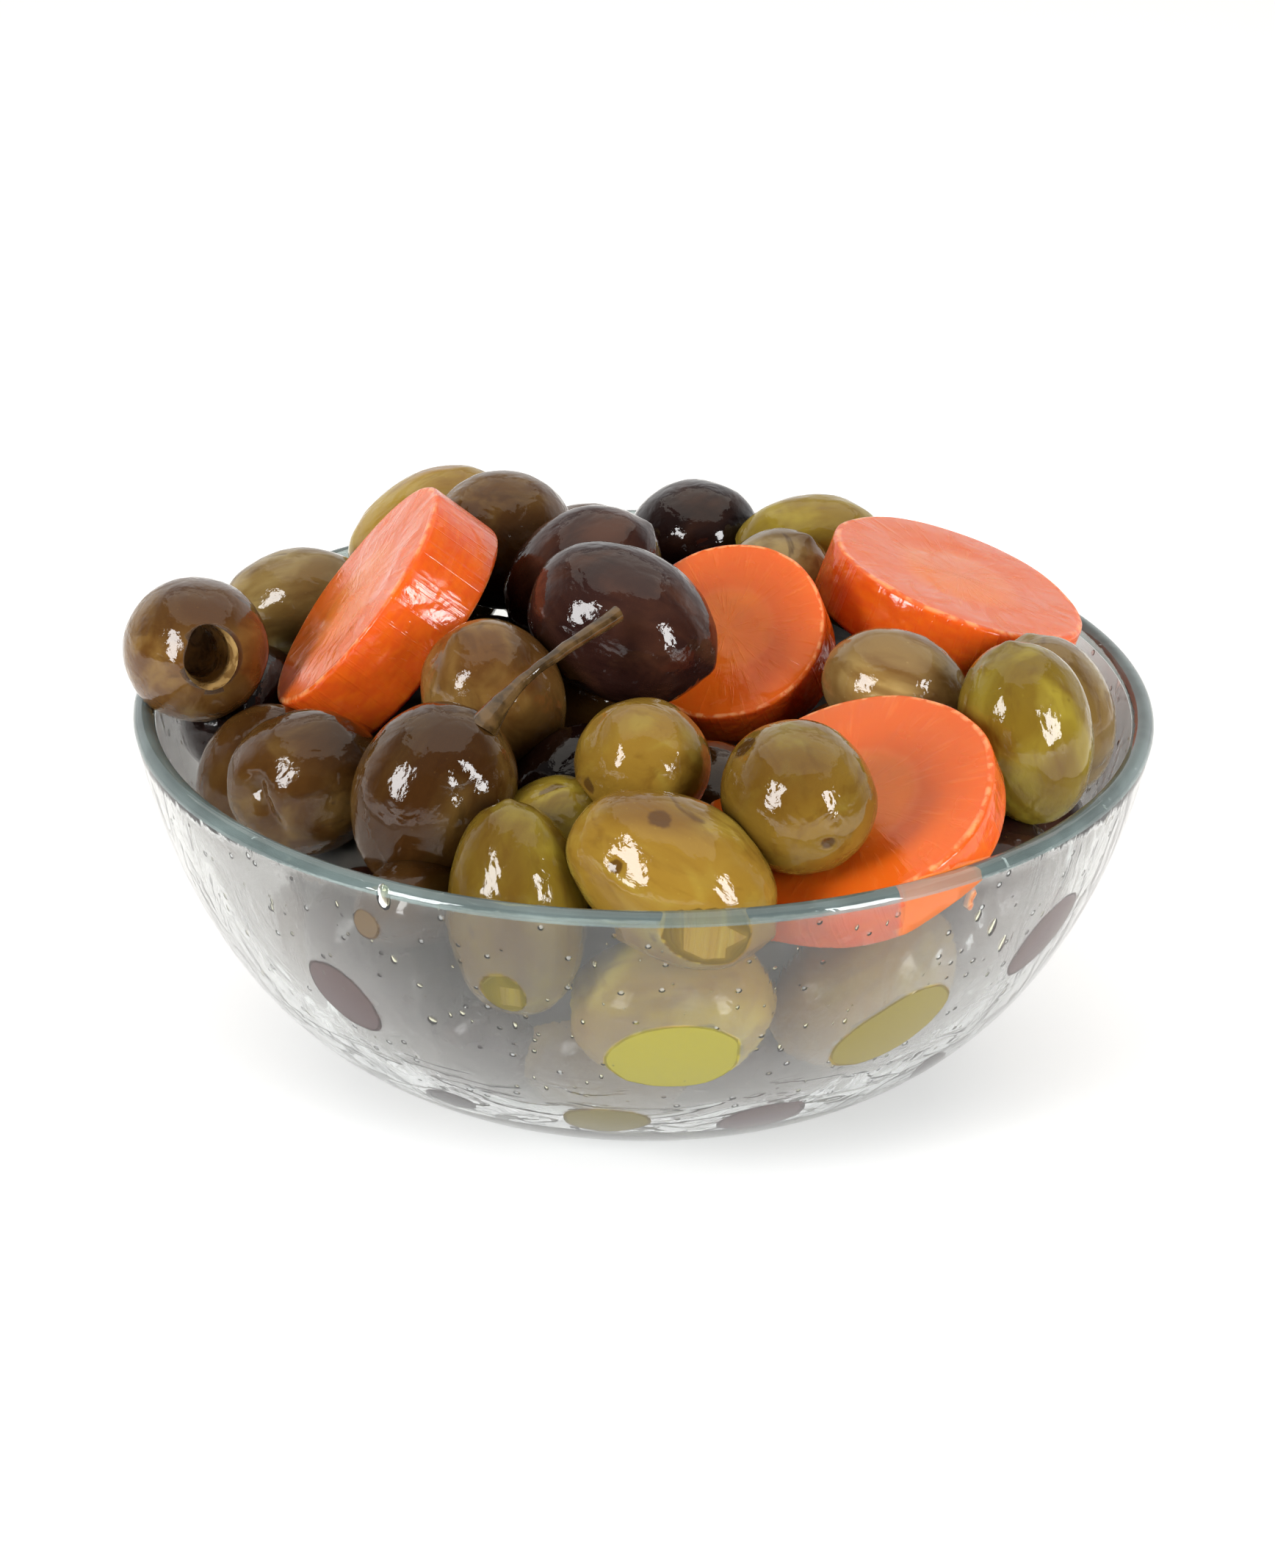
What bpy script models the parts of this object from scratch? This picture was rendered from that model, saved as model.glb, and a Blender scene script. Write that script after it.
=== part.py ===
"""A glass bowl heaped with whole olives and thick carrot slices.

Metres, +Z up. The origin is the middle of the flat foot, and the side that is looked at faces -Y.
"""

import math
import random

import bmesh
import bpy
from mathutils import Matrix, Vector

MM = 0.001

# Bowl: a turned wall of even thickness, with a flat foot and a round lip.
RIM_RADIUS = 70 * MM
HEIGHT = 53 * MM
WALL = 3.0 * MM
FLOOR = 4.0 * MM
FOOT_RADIUS = 21 * MM
SIDE_FULLNESS = 3.8
SIDE_LEAN = 1.38
SIDE_STEPS = 8
OUTER_SPACING = 1.6
INNER_SPACING = 1.25
FLOOR_CORNER = 2.2
LEAST_RISE = 0.4 * MM
LIP_STEPS = 4
BOWL_SEGMENTS = 60

# Food: what stays between two pieces, and how finely each is cut.
GAP = 0.3 * MM
OLIVE_SIDES = (12, 8)
COARSE_OLIVE_SIDES = (9, 6)
COARSE_OLIVES = ("row", "deep", "back_wall", "pressed")
CARROT_SEGMENTS = 36
CARROT_EDGE = 0.9 * MM
STEM_RADIUS = 1.15 * MM

# Olives placed one by one, those that show from the front and those that close the back, as name,
# centre, long axis, half length and half width, in mm.
PLACED_OLIVES = (
    ("pitted", (-61.3, -3.2, 59.8), (0.29, -0.92, 0.28), 11.0, 9.9),
    ("left_back", (-49.5, 25.0, 55.1), (0.97, -0.09, 0.23), 11.0, 7.9),
    ("behind_slice", (-31.2, 40.0, 59.8), (0.87, 0.20, 0.46), 12.8, 9.0),
    ("top_back", (-20.2, 25.2, 65.2), (-0.66, -0.44, 0.61), 10.5, 9.8),
    ("top_middle", (-8.4, 8.0, 66.0), (0.75, 0.09, 0.65), 12.0, 9.5),
    ("top_front", (-3.0, -12.0, 67.8), (0.89, -0.33, -0.31), 13.3, 10.4),
    ("back_dark", (6.7, 50.0, 54.9), (0.81, -0.34, 0.47), 10.8, 9.3),
    ("back_small", (-9.6, 45.0, 54.0), (0.90, 0.30, 0.20), 10.0, 8.5),
    ("back_inner", (-6.0, 31.5, 56.5), (0.50, 0.80, 0.10), 10.5, 8.5),
    ("back_wall_left", (-12.5, 57.0, 47.0), (0.98, 0.20, 0.05), 11.0, 8.2),
    ("back_wall_right", (25.0, 52.5, 46.5), (0.90, -0.42, 0.10), 11.0, 8.2),
    ("back_wall_far_left", (-31.0, 49.5, 46.5), (0.85, 0.52, 0.10), 10.5, 8.0),
    ("back_wall_left_end", (-45.5, 36.5, 46.0), (0.60, 0.79, 0.10), 10.0, 7.8),
    ("back_wall_far_right", (41.5, 40.8, 46.5), (0.70, -0.70, 0.10), 11.0, 8.0),
    ("back_green", (23.9, 40.3, 58.4), (1.00, 0.03, 0.08), 11.0, 7.8),
    ("behind_middle_slice", (17.6, 26.0, 55.6), (0.47, 0.01, 0.88), 11.3, 8.6),
    ("beside_right_slice", (33.6, -13.1, 59.3), (0.93, -0.29, -0.24), 10.2, 8.0),
    ("deep_between_slices", (27.5, -12.0, 48.0), (0.30, 0.90, 0.20), 10.0, 8.2),
    ("on_front_slice", (19.7, -48.4, 59.7), (0.37, -0.93, -0.08), 11.0, 9.6),
    ("right_green", (50.6, -24.5, 57.9), (-0.22, 0.22, 0.95), 12.4, 8.9),
    ("right_dark", (55.0, -8.1, 53.2), (-0.26, 0.39, 0.89), 11.3, 9.2),
    ("middle_green", (-0.2, -38.0, 59.2), (0.47, -0.73, 0.50), 9.6, 8.5),
    ("brown_middle", (-19.9, -20.2, 60.5), (-0.43, -0.16, 0.89), 10.8, 9.5),
    ("stemmed", (-27.2, -39.5, 54.8), (0.44, 0.11, 0.89), 12.8, 10.4),
    ("wrinkled", (-44.3, -27.4, 51.2), (0.89, -0.31, 0.34), 11.2, 9.6),
    ("left_low", (-52.0, -11.5, 44.3), (0.49, 0.18, 0.85), 10.5, 8.8),
    ("deep_pitted", (-56.0, 6.5, 46.8), (0.20, 0.95, 0.20), 11.0, 8.8),
    ("deep_middle", (-7.0, 3.0, 53.0), (0.60, 0.75, 0.10), 11.0, 9.0),
    ("deep_left", (-21.0, 4.0, 52.5), (0.30, -0.90, 0.20), 11.0, 8.8),
    ("deep_back", (3.0, 19.0, 54.5), (0.90, 0.30, -0.15), 10.5, 8.6),
    ("behind_long", (-12.6, -42.0, 48.6), (0.60, 0.50, 0.60), 10.5, 8.3),
    ("deep_front", (-7.5, -26.5, 50.0), (0.85, 0.40, 0.10), 11.0, 8.8),
    ("deep_front_right", (9.5, -24.0, 46.5), (0.40, -0.85, 0.10), 11.0, 8.8),
    ("long_green", (-15.7, -53.4, 46.4), (-0.10, 0.23, 0.97), 13.4, 8.9),
    ("front_green", (3.7, -56.5, 52.3), (0.87, -0.34, -0.35), 14.2, 9.9),
    ("tip_on_glass", (-27.5, -45.5, 44.0), (-0.50, -0.84, 0.20), 13.6, 5.8),
)

# The bored hole of the pitted olive, and the stalk's route from the stemmed olive's top, in mm.
PIT_RADIUS = 4.0
PIT_TAPER = 0.8
PIT_DEPTH = 13.0
PIT_REACH = 1.0
PIT_SEGMENTS = 14
STEM_ROUTE = ((-20.8, -40.0, 64.5), (-17.6, -36.5, 68.4), (-11.5, -31.5, 71.6), (-3.6, -23.2, 73.9))

# Olives pressed to the glass, as bearing from +X and height of the touching point, how far the long
# axis climbs from level, half length, half width and how far the glass flattens it, in degrees and mm.
PRESSED_OLIVES = (
    ("pressed_front_low", -85.8, 27.6, 3, 13.2, 9.8, 1.9),
    ("pressed_purple", -128.0, 29.5, -58, 12.0, 9.0, 1.1),
    ("pressed_tan", -58.0, 27.5, 35, 13.5, 9.2, 1.7),
    ("pressed_right_high", -35.0, 33.5, 31, 12.5, 9.2, 1.2),
    ("pressed_right", -13.0, 30.0, 65, 11.5, 9.0, 0.7),
    ("pressed_foot_tan", -95.5, 13.0, 5, 12.0, 9.0, 0.8),
    ("pressed_foot_purple", -71.0, 12.5, 8, 12.5, 9.0, 0.9),
)

# Rows of olives that finish the rest of the wall: height, how many go round, and the bearings
# between which the row stays empty, as the food there lies lower or higher than that row.
WALL_ROWS = (
    (13 * MM, 9, (-112, -54)),
    (30 * MM, 14, (-107, -64)),
    (47 * MM, 18, (-165, 42)),
    (40 * MM, 16, (42, 195)),
)
ROW_SEED = 11
ROW_HALF_LENGTH = (10.4 * MM, 12.6 * MM)
ROW_HALF_WIDTH = (8.2 * MM, 9.4 * MM)
ROW_PRESS = 0.4 * MM
ROW_CLEARANCE = 0.8
SLICE_CLEARANCE = 0.75

# Rings of olives that fill the places between those that show: radius, height and how many go round.
FILL_RINGS = (
    (48 * MM, 53 * MM, 18),
    (34 * MM, 58 * MM, 14),
    (18 * MM, 59 * MM, 9),
    (40 * MM, 50 * MM, 15),
    (27 * MM, 53 * MM, 12),
)

# Carrot slices, as name, centre, the way the cut face looks, radius and thickness, in mm.
CARROTS = (
    ("carrot_slice_left", (-35.3, 1.3, 63.2), (-0.78, -0.04, 0.62), 18.2, 11.4),
    ("carrot_slice_middle", (12.3, 1.2, 59.6), (-0.23, -0.62, 0.75), 13.7, 9.6),
    ("carrot_slice_right", (42.6, 16.9, 59.4), (0.32, 0.02, 0.95), 18.7, 9.5),
    ("carrot_slice_front", (27.5, -39.3, 52.4), (-0.33, -0.28, 0.90), 20.0, 6.8),
)

# Core under the heap, as radius and height of its outline, in mm.
CORE_OUTLINE = (
    (0.0, 4.6),
    (19.0, 4.6),
    (31.0, 9.0),
    (41.0, 16.0),
    (48.0, 26.0),
    (52.5, 38.0),
    (52.0, 45.0),
    (46.0, 50.0),
    (32.0, 53.0),
    (21.0, 51.0),
    (14.0, 47.5),
    (0.0, 47.0),
)
CORE_SEGMENTS = 32

# How far the space that food may fill goes past the bowl's rim, out and up.
ROOM_MARGIN = 30 * MM
ROOM_HEIGHT = 60 * MM


def clear_scene():
    """Removes whatever the scene held before."""
    for thing in list(bpy.data.objects):
        bpy.data.objects.remove(thing, do_unlink=True)


def material(name, colour, roughness, alpha=1.0, transmission=0.0):
    """A plain Principled material in the part's colour."""
    made = bpy.data.materials.new(name)
    made.use_nodes = True
    shader = made.node_tree.nodes["Principled BSDF"]
    shader.inputs["Base Color"].default_value = (*colour, 1.0)
    shader.inputs["Roughness"].default_value = roughness
    shader.inputs["Metallic"].default_value = 0.0
    shader.inputs["Alpha"].default_value = alpha
    shader.inputs["Transmission Weight"].default_value = transmission
    return made


def object_from(name, mesh_builder, finish=None):
    """A new object that holds the builder's faces, turned outwards."""
    bmesh.ops.remove_doubles(mesh_builder, verts=mesh_builder.verts, dist=1e-6)
    bmesh.ops.recalc_face_normals(mesh_builder, faces=mesh_builder.faces)
    mesh = bpy.data.meshes.new(name)
    mesh_builder.to_mesh(mesh)
    mesh_builder.free()
    made = bpy.data.objects.new(name, mesh)
    bpy.context.scene.collection.objects.link(made)
    if finish:
        mesh.materials.append(finish)
    mesh.shade_smooth()
    mesh.set_sharp_from_angle(angle=math.radians(40))
    return made


def turned(name, outline, segments, finish=None):
    """A solid turned about Z from an outline of radius and height that starts and ends on the axis."""
    builder = bmesh.new()
    points = [builder.verts.new((radius, 0.0, height)) for radius, height in outline]
    edges = [builder.edges.new(pair) for pair in zip(points, points[1:])]
    bmesh.ops.spin(
        builder,
        geom=points + edges,
        cent=(0.0, 0.0, 0.0),
        axis=(0.0, 0.0, 1.0),
        angle=math.tau,
        steps=segments,
        use_merge=True,
    )
    return object_from(name, builder, finish)


def wall_radius(height):
    """Outer radius of the bowl at a height."""
    rise = min(max(height / HEIGHT, 0.0), 1.0)
    return RIM_RADIUS * (1.0 - (1.0 - rise) ** SIDE_LEAN) ** (1.0 / SIDE_FULLNESS)


def outward(height):
    """Outward direction of the wall at a height, as its radial and upward parts."""
    step = 0.05 * MM
    lean = (wall_radius(height + step) - wall_radius(height - step)) / (2.0 * step)
    return Vector((1.0, -lean)).normalized()


def wall_point(height, inset):
    """Radius and height of the point that lies inset inside the outer wall."""
    way = outward(height)
    return (wall_radius(height) - inset * way.x, height - inset * way.y)


def inner_side(inset):
    """Outline of the inside from the floor's middle up to the lip, inset from the outer wall."""
    lip_height = HEIGHT - WALL / 2.0
    floor = FLOOR + inset - WALL
    outline = [(0.0, floor)]
    for step in range(1, SIDE_STEPS + 1):
        rise = lip_height * (step / SIDE_STEPS) ** INNER_SPACING
        radius, height = wall_point(rise, inset)
        if height > floor + LEAST_RISE:
            outline.append((radius, height))
    outline[-1] = (RIM_RADIUS - inset, lip_height)
    first_radius, first_height = outline[1]
    outline.insert(1, (first_radius - FLOOR_CORNER * (first_height - floor), floor))
    return outline


def lip_arc(radius, start, end):
    """Points of an arc round the lip's middle, between two angles in degrees."""
    middle = (RIM_RADIUS - WALL / 2.0, HEIGHT - WALL / 2.0)
    points = []
    for step in range(1, LIP_STEPS + 1):
        angle = math.radians(start + (end - start) * step / LIP_STEPS)
        points.append((middle[0] + radius * math.cos(angle), middle[1] + radius * math.sin(angle)))
    return points


def make_bowl(glass):
    """The bowl itself: foot, wall, lip and floor."""
    outline = [(0.0, 0.0), (FOOT_RADIUS, 0.0)]
    lip_height = HEIGHT - WALL / 2.0
    for step in range(1, SIDE_STEPS):
        rise = lip_height * (step / SIDE_STEPS) ** OUTER_SPACING
        outline.append((wall_radius(rise), rise))
    outline.append((RIM_RADIUS, lip_height))
    outline += lip_arc(WALL / 2.0, 0.0, 180.0)
    outline += list(reversed(inner_side(WALL)))[1:]
    return turned("bowl", outline, BOWL_SEGMENTS, glass)


def make_room():
    """The space that the food may fill: the inside, less the gap, and all that is above the rim."""
    outline = inner_side(WALL + GAP)
    outline += lip_arc(WALL / 2.0 + GAP, 180.0, 90.0)
    top = HEIGHT + ROOM_HEIGHT
    wide = RIM_RADIUS + ROOM_MARGIN
    outline += [(wide, HEIGHT + GAP), (wide, top), (0.0, top)]
    return turned("room", outline, BOWL_SEGMENTS)


def aim(centre, axis):
    """The place of a piece whose own Z lies along an axis."""
    turn = Vector(axis).to_track_quat("Z", "Y").to_matrix().to_4x4()
    return Matrix.Translation(Vector(centre)) @ turn


def make_olive(name, centre, axis, half_length, half_width):
    """One olive, as an egg-round solid along its axis."""
    around, along = COARSE_OLIVE_SIDES if name.startswith(COARSE_OLIVES) else OLIVE_SIDES
    builder = bmesh.new()
    bmesh.ops.create_uvsphere(builder, u_segments=around, v_segments=along, radius=1.0)
    sizes = Matrix.Diagonal((half_width, half_width, half_length, 1.0))
    bmesh.ops.transform(builder, matrix=aim(centre, axis) @ sizes, verts=builder.verts)
    return object_from(name, builder)


def pressed_place(bearing, height, climb, half_width, press):
    """Centre and long axis of an olive that touches the glass at a bearing and height."""
    around = math.radians(bearing)
    way = outward(height)
    radius, level = wall_point(height, WALL + half_width - press)
    radial = Vector((math.cos(around), math.sin(around), 0.0))
    level_way = Vector((-math.sin(around), math.cos(around), 0.0))
    up_way = radial * -way.y + Vector((0.0, 0.0, way.x))
    slope = math.radians(climb)
    axis = level_way * math.cos(slope) + up_way * math.sin(slope)
    return radial * radius + Vector((0.0, 0.0, level)), axis


def within(bearing, span):
    """Whether a bearing lies in a span of bearings, in degrees."""
    return (bearing - span[0]) % 360 < (span[1] - span[0]) % 360


def olive_places():
    """Every olive of the heap, as name, centre, axis, half length and half width, in metres."""
    places = []
    for name, centre, axis, half_length, half_width in PLACED_OLIVES:
        places.append((name, Vector(centre) * MM, Vector(axis), half_length * MM, half_width * MM))
    for name, bearing, height, climb, half_length, half_width, press in PRESSED_OLIVES:
        centre, axis = pressed_place(bearing, height * MM, climb, half_width * MM, press * MM)
        places.append((name, centre, axis, half_length * MM, half_width * MM))
    draw = random.Random(ROW_SEED)
    for row, (height, count, empty) in enumerate(WALL_ROWS):
        for step in range(count):
            bearing = (step + draw.uniform(-0.15, 0.15)) * 360 / count
            half_length = draw.uniform(*ROW_HALF_LENGTH)
            half_width = draw.uniform(*ROW_HALF_WIDTH)
            climb = draw.uniform(-60, 60)
            level = height + draw.uniform(-2, 2) * MM
            centre, axis = pressed_place(bearing, level, climb, half_width, ROW_PRESS)
            if not within(bearing, empty) and is_free(centre, half_width, places):
                places.append((f"row_{row}_{step}", centre, axis, half_length, half_width))
    for ring, (radius, height, count) in enumerate(FILL_RINGS):
        for step in range(count):
            around = (step + draw.uniform(-0.2, 0.2)) * math.tau / count
            half_length = draw.uniform(*ROW_HALF_LENGTH)
            half_width = draw.uniform(*ROW_HALF_WIDTH)
            way = draw.uniform(0.0, math.tau)
            axis = Vector((math.cos(way), math.sin(way), draw.uniform(-0.4, 0.4)))
            centre = Vector((radius * math.cos(around), radius * math.sin(around), height))
            if is_free(centre, half_width, places):
                places.append((f"row_fill_{ring}_{step}", centre, axis.normalized(), half_length, half_width))
    return places


def is_free(centre, half_width, places):
    """Whether an olive here would barely touch the olives already placed and the carrot slices."""
    for _, other, _, other_length, other_width in places:
        reach = half_width + (other_length + other_width) / 2.0
        if (centre - other).length < ROW_CLEARANCE * reach:
            return False
    for _, middle, face_way, radius, thickness in CARROTS:
        offset = centre - Vector(middle) * MM
        along = offset.dot(Vector(face_way).normalized())
        across = math.sqrt(max(offset.length_squared - along * along, 0.0))
        off_face = max(abs(along) - thickness * MM / 2.0, 0.0)
        off_side = max(across - radius * MM, 0.0)
        if math.hypot(off_face, off_side) < SLICE_CLEARANCE * half_width:
            return False
    return True


def make_stem():
    """The stalk of the stemmed olive, lying up over the middle of the heap."""
    curve = bpy.data.curves.new("stem", "CURVE")
    curve.dimensions = "3D"
    curve.bevel_depth = STEM_RADIUS
    curve.bevel_resolution = 1
    curve.use_fill_caps = True
    line = curve.splines.new("POLY")
    line.points.add(len(STEM_ROUTE) - 1)
    for point, place in zip(line.points, STEM_ROUTE):
        point.co = (*(Vector(place) * MM), 1.0)
    guide = bpy.data.objects.new("stem_guide", curve)
    bpy.context.scene.collection.objects.link(guide)
    graph = bpy.context.evaluated_depsgraph_get()
    builder = bmesh.new()
    builder.from_mesh(guide.evaluated_get(graph).to_mesh())
    bpy.data.objects.remove(guide, do_unlink=True)
    return object_from("stem", builder)


def make_pit_hole():
    """The tool that bores the pitted olive: the round hole that its stone was pushed out of."""
    _, centre, axis, half_length, _ = PLACED_OLIVES[0]
    way = Vector(axis)
    middle = (Vector(centre) + way * (half_length - PIT_DEPTH / 2.0 + PIT_REACH)) * MM
    builder = bmesh.new()
    bmesh.ops.create_cone(
        builder,
        cap_ends=True,
        segments=PIT_SEGMENTS,
        radius1=PIT_RADIUS * MM * PIT_TAPER,
        radius2=PIT_RADIUS * MM,
        depth=(PIT_DEPTH + 2.0 * PIT_REACH) * MM,
    )
    bmesh.ops.transform(builder, matrix=aim(middle, way), verts=builder.verts)
    return object_from("pit_hole", builder)


def apply_boolean(target, others, operation, solver):
    """Applies one Boolean to the target and removes what it was made with."""
    tools = bpy.data.collections.new("tools")
    bpy.context.scene.collection.children.link(tools)
    for other in others:
        tools.objects.link(other)
    step = target.modifiers.new(operation.lower(), "BOOLEAN")
    step.operation = operation
    step.operand_type = "COLLECTION"
    step.collection = tools
    step.solver = solver
    graph = bpy.context.evaluated_depsgraph_get()
    result = bpy.data.meshes.new_from_object(target.evaluated_get(graph))
    target.modifiers.clear()
    target.data = result
    for other in others:
        bpy.data.objects.remove(other, do_unlink=True)
    bpy.data.collections.remove(tools)


def keep_main_body(target):
    """Leaves only the body with the most faces: loose scraps go, and hollows that fusing sealed are filled."""
    builder = bmesh.new()
    builder.from_mesh(target.data)
    left = set(builder.faces)
    bodies = []
    while left:
        body = set()
        reached = [left.pop()]
        while reached:
            face = reached.pop()
            body.add(face)
            for edge in face.edges:
                new = left.intersection(edge.link_faces)
                left -= new
                reached += new
        bodies.append(body)
    bodies.sort(key=len)
    loose = [face for body in bodies[:-1] for face in body]
    bmesh.ops.delete(builder, geom=loose, context="FACES")
    builder.to_mesh(target.data)
    builder.free()


def make_carrot(name, centre, axis, radius, thickness, finish=None, grow=0.0):
    """A thick carrot slice with a softened edge; grow makes the larger shape that keeps others clear."""
    builder = bmesh.new()
    bmesh.ops.create_cone(
        builder,
        cap_ends=True,
        segments=CARROT_SEGMENTS,
        radius1=radius + grow,
        radius2=radius + grow,
        depth=thickness + 2.0 * grow,
    )
    rims = [edge for edge in builder.edges if abs(edge.verts[0].co.z - edge.verts[1].co.z) < 1e-7]
    bmesh.ops.bevel(
        builder, geom=rims, offset=CARROT_EDGE, segments=1, profile=0.5, affect="EDGES", material=-1
    )
    bmesh.ops.transform(builder, matrix=aim(centre, axis), verts=builder.verts)
    return object_from(name, builder, finish)


def make_heap(finish):
    """The heap out to its uneven outline: the core with every olive fused on, clear of glass and carrot."""
    core = turned("olive_heap", [(r * MM, z * MM) for r, z in CORE_OUTLINE], CORE_SEGMENTS, finish)
    pieces = [make_olive(*place) for place in olive_places()]
    apply_boolean(core, [*pieces, make_stem()], "UNION", "MANIFOLD")
    apply_boolean(core, [make_pit_hole()], "DIFFERENCE", "MANIFOLD")
    apply_boolean(core, [make_room()], "INTERSECT", "MANIFOLD")
    keep_clear = []
    for name, centre, axis, radius, thickness in CARROTS:
        place = Vector(centre) * MM
        keep_clear.append(make_carrot(name + "_clear", place, axis, radius * MM, thickness * MM, grow=GAP))
    apply_boolean(core, keep_clear, "DIFFERENCE", "MANIFOLD")
    keep_main_body(core)
    core.data.shade_smooth()
    core.data.set_sharp_from_angle(angle=math.radians(40))
    return core


def make_carrots(finish):
    """Each carrot slice as its own piece, kept off the glass."""
    for name, centre, axis, radius, thickness in CARROTS:
        slice_piece = make_carrot(name, Vector(centre) * MM, axis, radius * MM, thickness * MM, finish)
        apply_boolean(slice_piece, [make_room()], "INTERSECT", "MANIFOLD")


def main():
    """Builds the bowl, the heap of olives and the carrot slices."""
    clear_scene()
    glass = material("clear_glass", (0.86, 0.93, 0.93), 0.05, alpha=0.4, transmission=1.0)
    olive_skin = material("olive_skin", (0.13, 0.11, 0.035), 0.25)
    carrot_flesh = material("carrot_flesh", (0.85, 0.24, 0.05), 0.3)
    make_bowl(glass)
    make_heap(olive_skin)
    make_carrots(carrot_flesh)


if __name__ == "__main__":
    main()
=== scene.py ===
"""Looks for a glass bowl heaped with olives and thick carrot slices.

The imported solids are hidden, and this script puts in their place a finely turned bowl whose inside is
clouded by oil, with single olives in five colours, and with cut carrot slices.
"""

from __future__ import annotations

import logging
import math
import random
from dataclasses import dataclass, field
from enum import Enum

import bmesh
import bpy
from bmesh.types import BMesh
from bpy.types import Material, Node, NodeSocket, NodeTree, Object
from mathutils import Matrix, Vector, noise

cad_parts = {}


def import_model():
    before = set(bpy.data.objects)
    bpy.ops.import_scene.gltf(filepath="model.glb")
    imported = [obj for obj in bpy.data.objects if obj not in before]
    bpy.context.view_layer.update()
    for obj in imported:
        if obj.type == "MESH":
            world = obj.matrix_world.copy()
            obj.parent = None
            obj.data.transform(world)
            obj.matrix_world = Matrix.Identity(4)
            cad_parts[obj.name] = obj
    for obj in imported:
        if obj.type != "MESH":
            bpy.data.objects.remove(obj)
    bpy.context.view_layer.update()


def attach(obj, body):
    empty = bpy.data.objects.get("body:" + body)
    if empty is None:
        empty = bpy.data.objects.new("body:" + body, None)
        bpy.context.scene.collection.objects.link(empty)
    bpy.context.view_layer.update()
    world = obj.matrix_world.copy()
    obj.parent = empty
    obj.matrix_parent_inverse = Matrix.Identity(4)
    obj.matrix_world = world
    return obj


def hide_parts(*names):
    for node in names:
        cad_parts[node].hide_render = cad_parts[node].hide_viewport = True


MM = 0.001
UP = Vector((0.0, 0.0, 1.0))
Colour = tuple[float, float, float]
Point = tuple[float, float, float]
Inputs = dict[str | int, object]
Sockets = bpy.types.bpy_prop_collection

# Socket types of the node groups.
FLOAT = "NodeSocketFloat"
VECTOR = "NodeSocketVector"
COLOUR = "NodeSocketColor"

WHITE = (1.0, 1.0, 1.0)
OIL_LEVEL = 14.0 * MM

log = logging.getLogger("bowl_of_olives")


class OliveKind(Enum):
    """The colours of olive that the bowl holds."""

    GREEN = "green"
    LEAF = "leaf"
    KHAKI = "khaki"
    BROWN = "brown"
    BLACK = "black"


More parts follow.
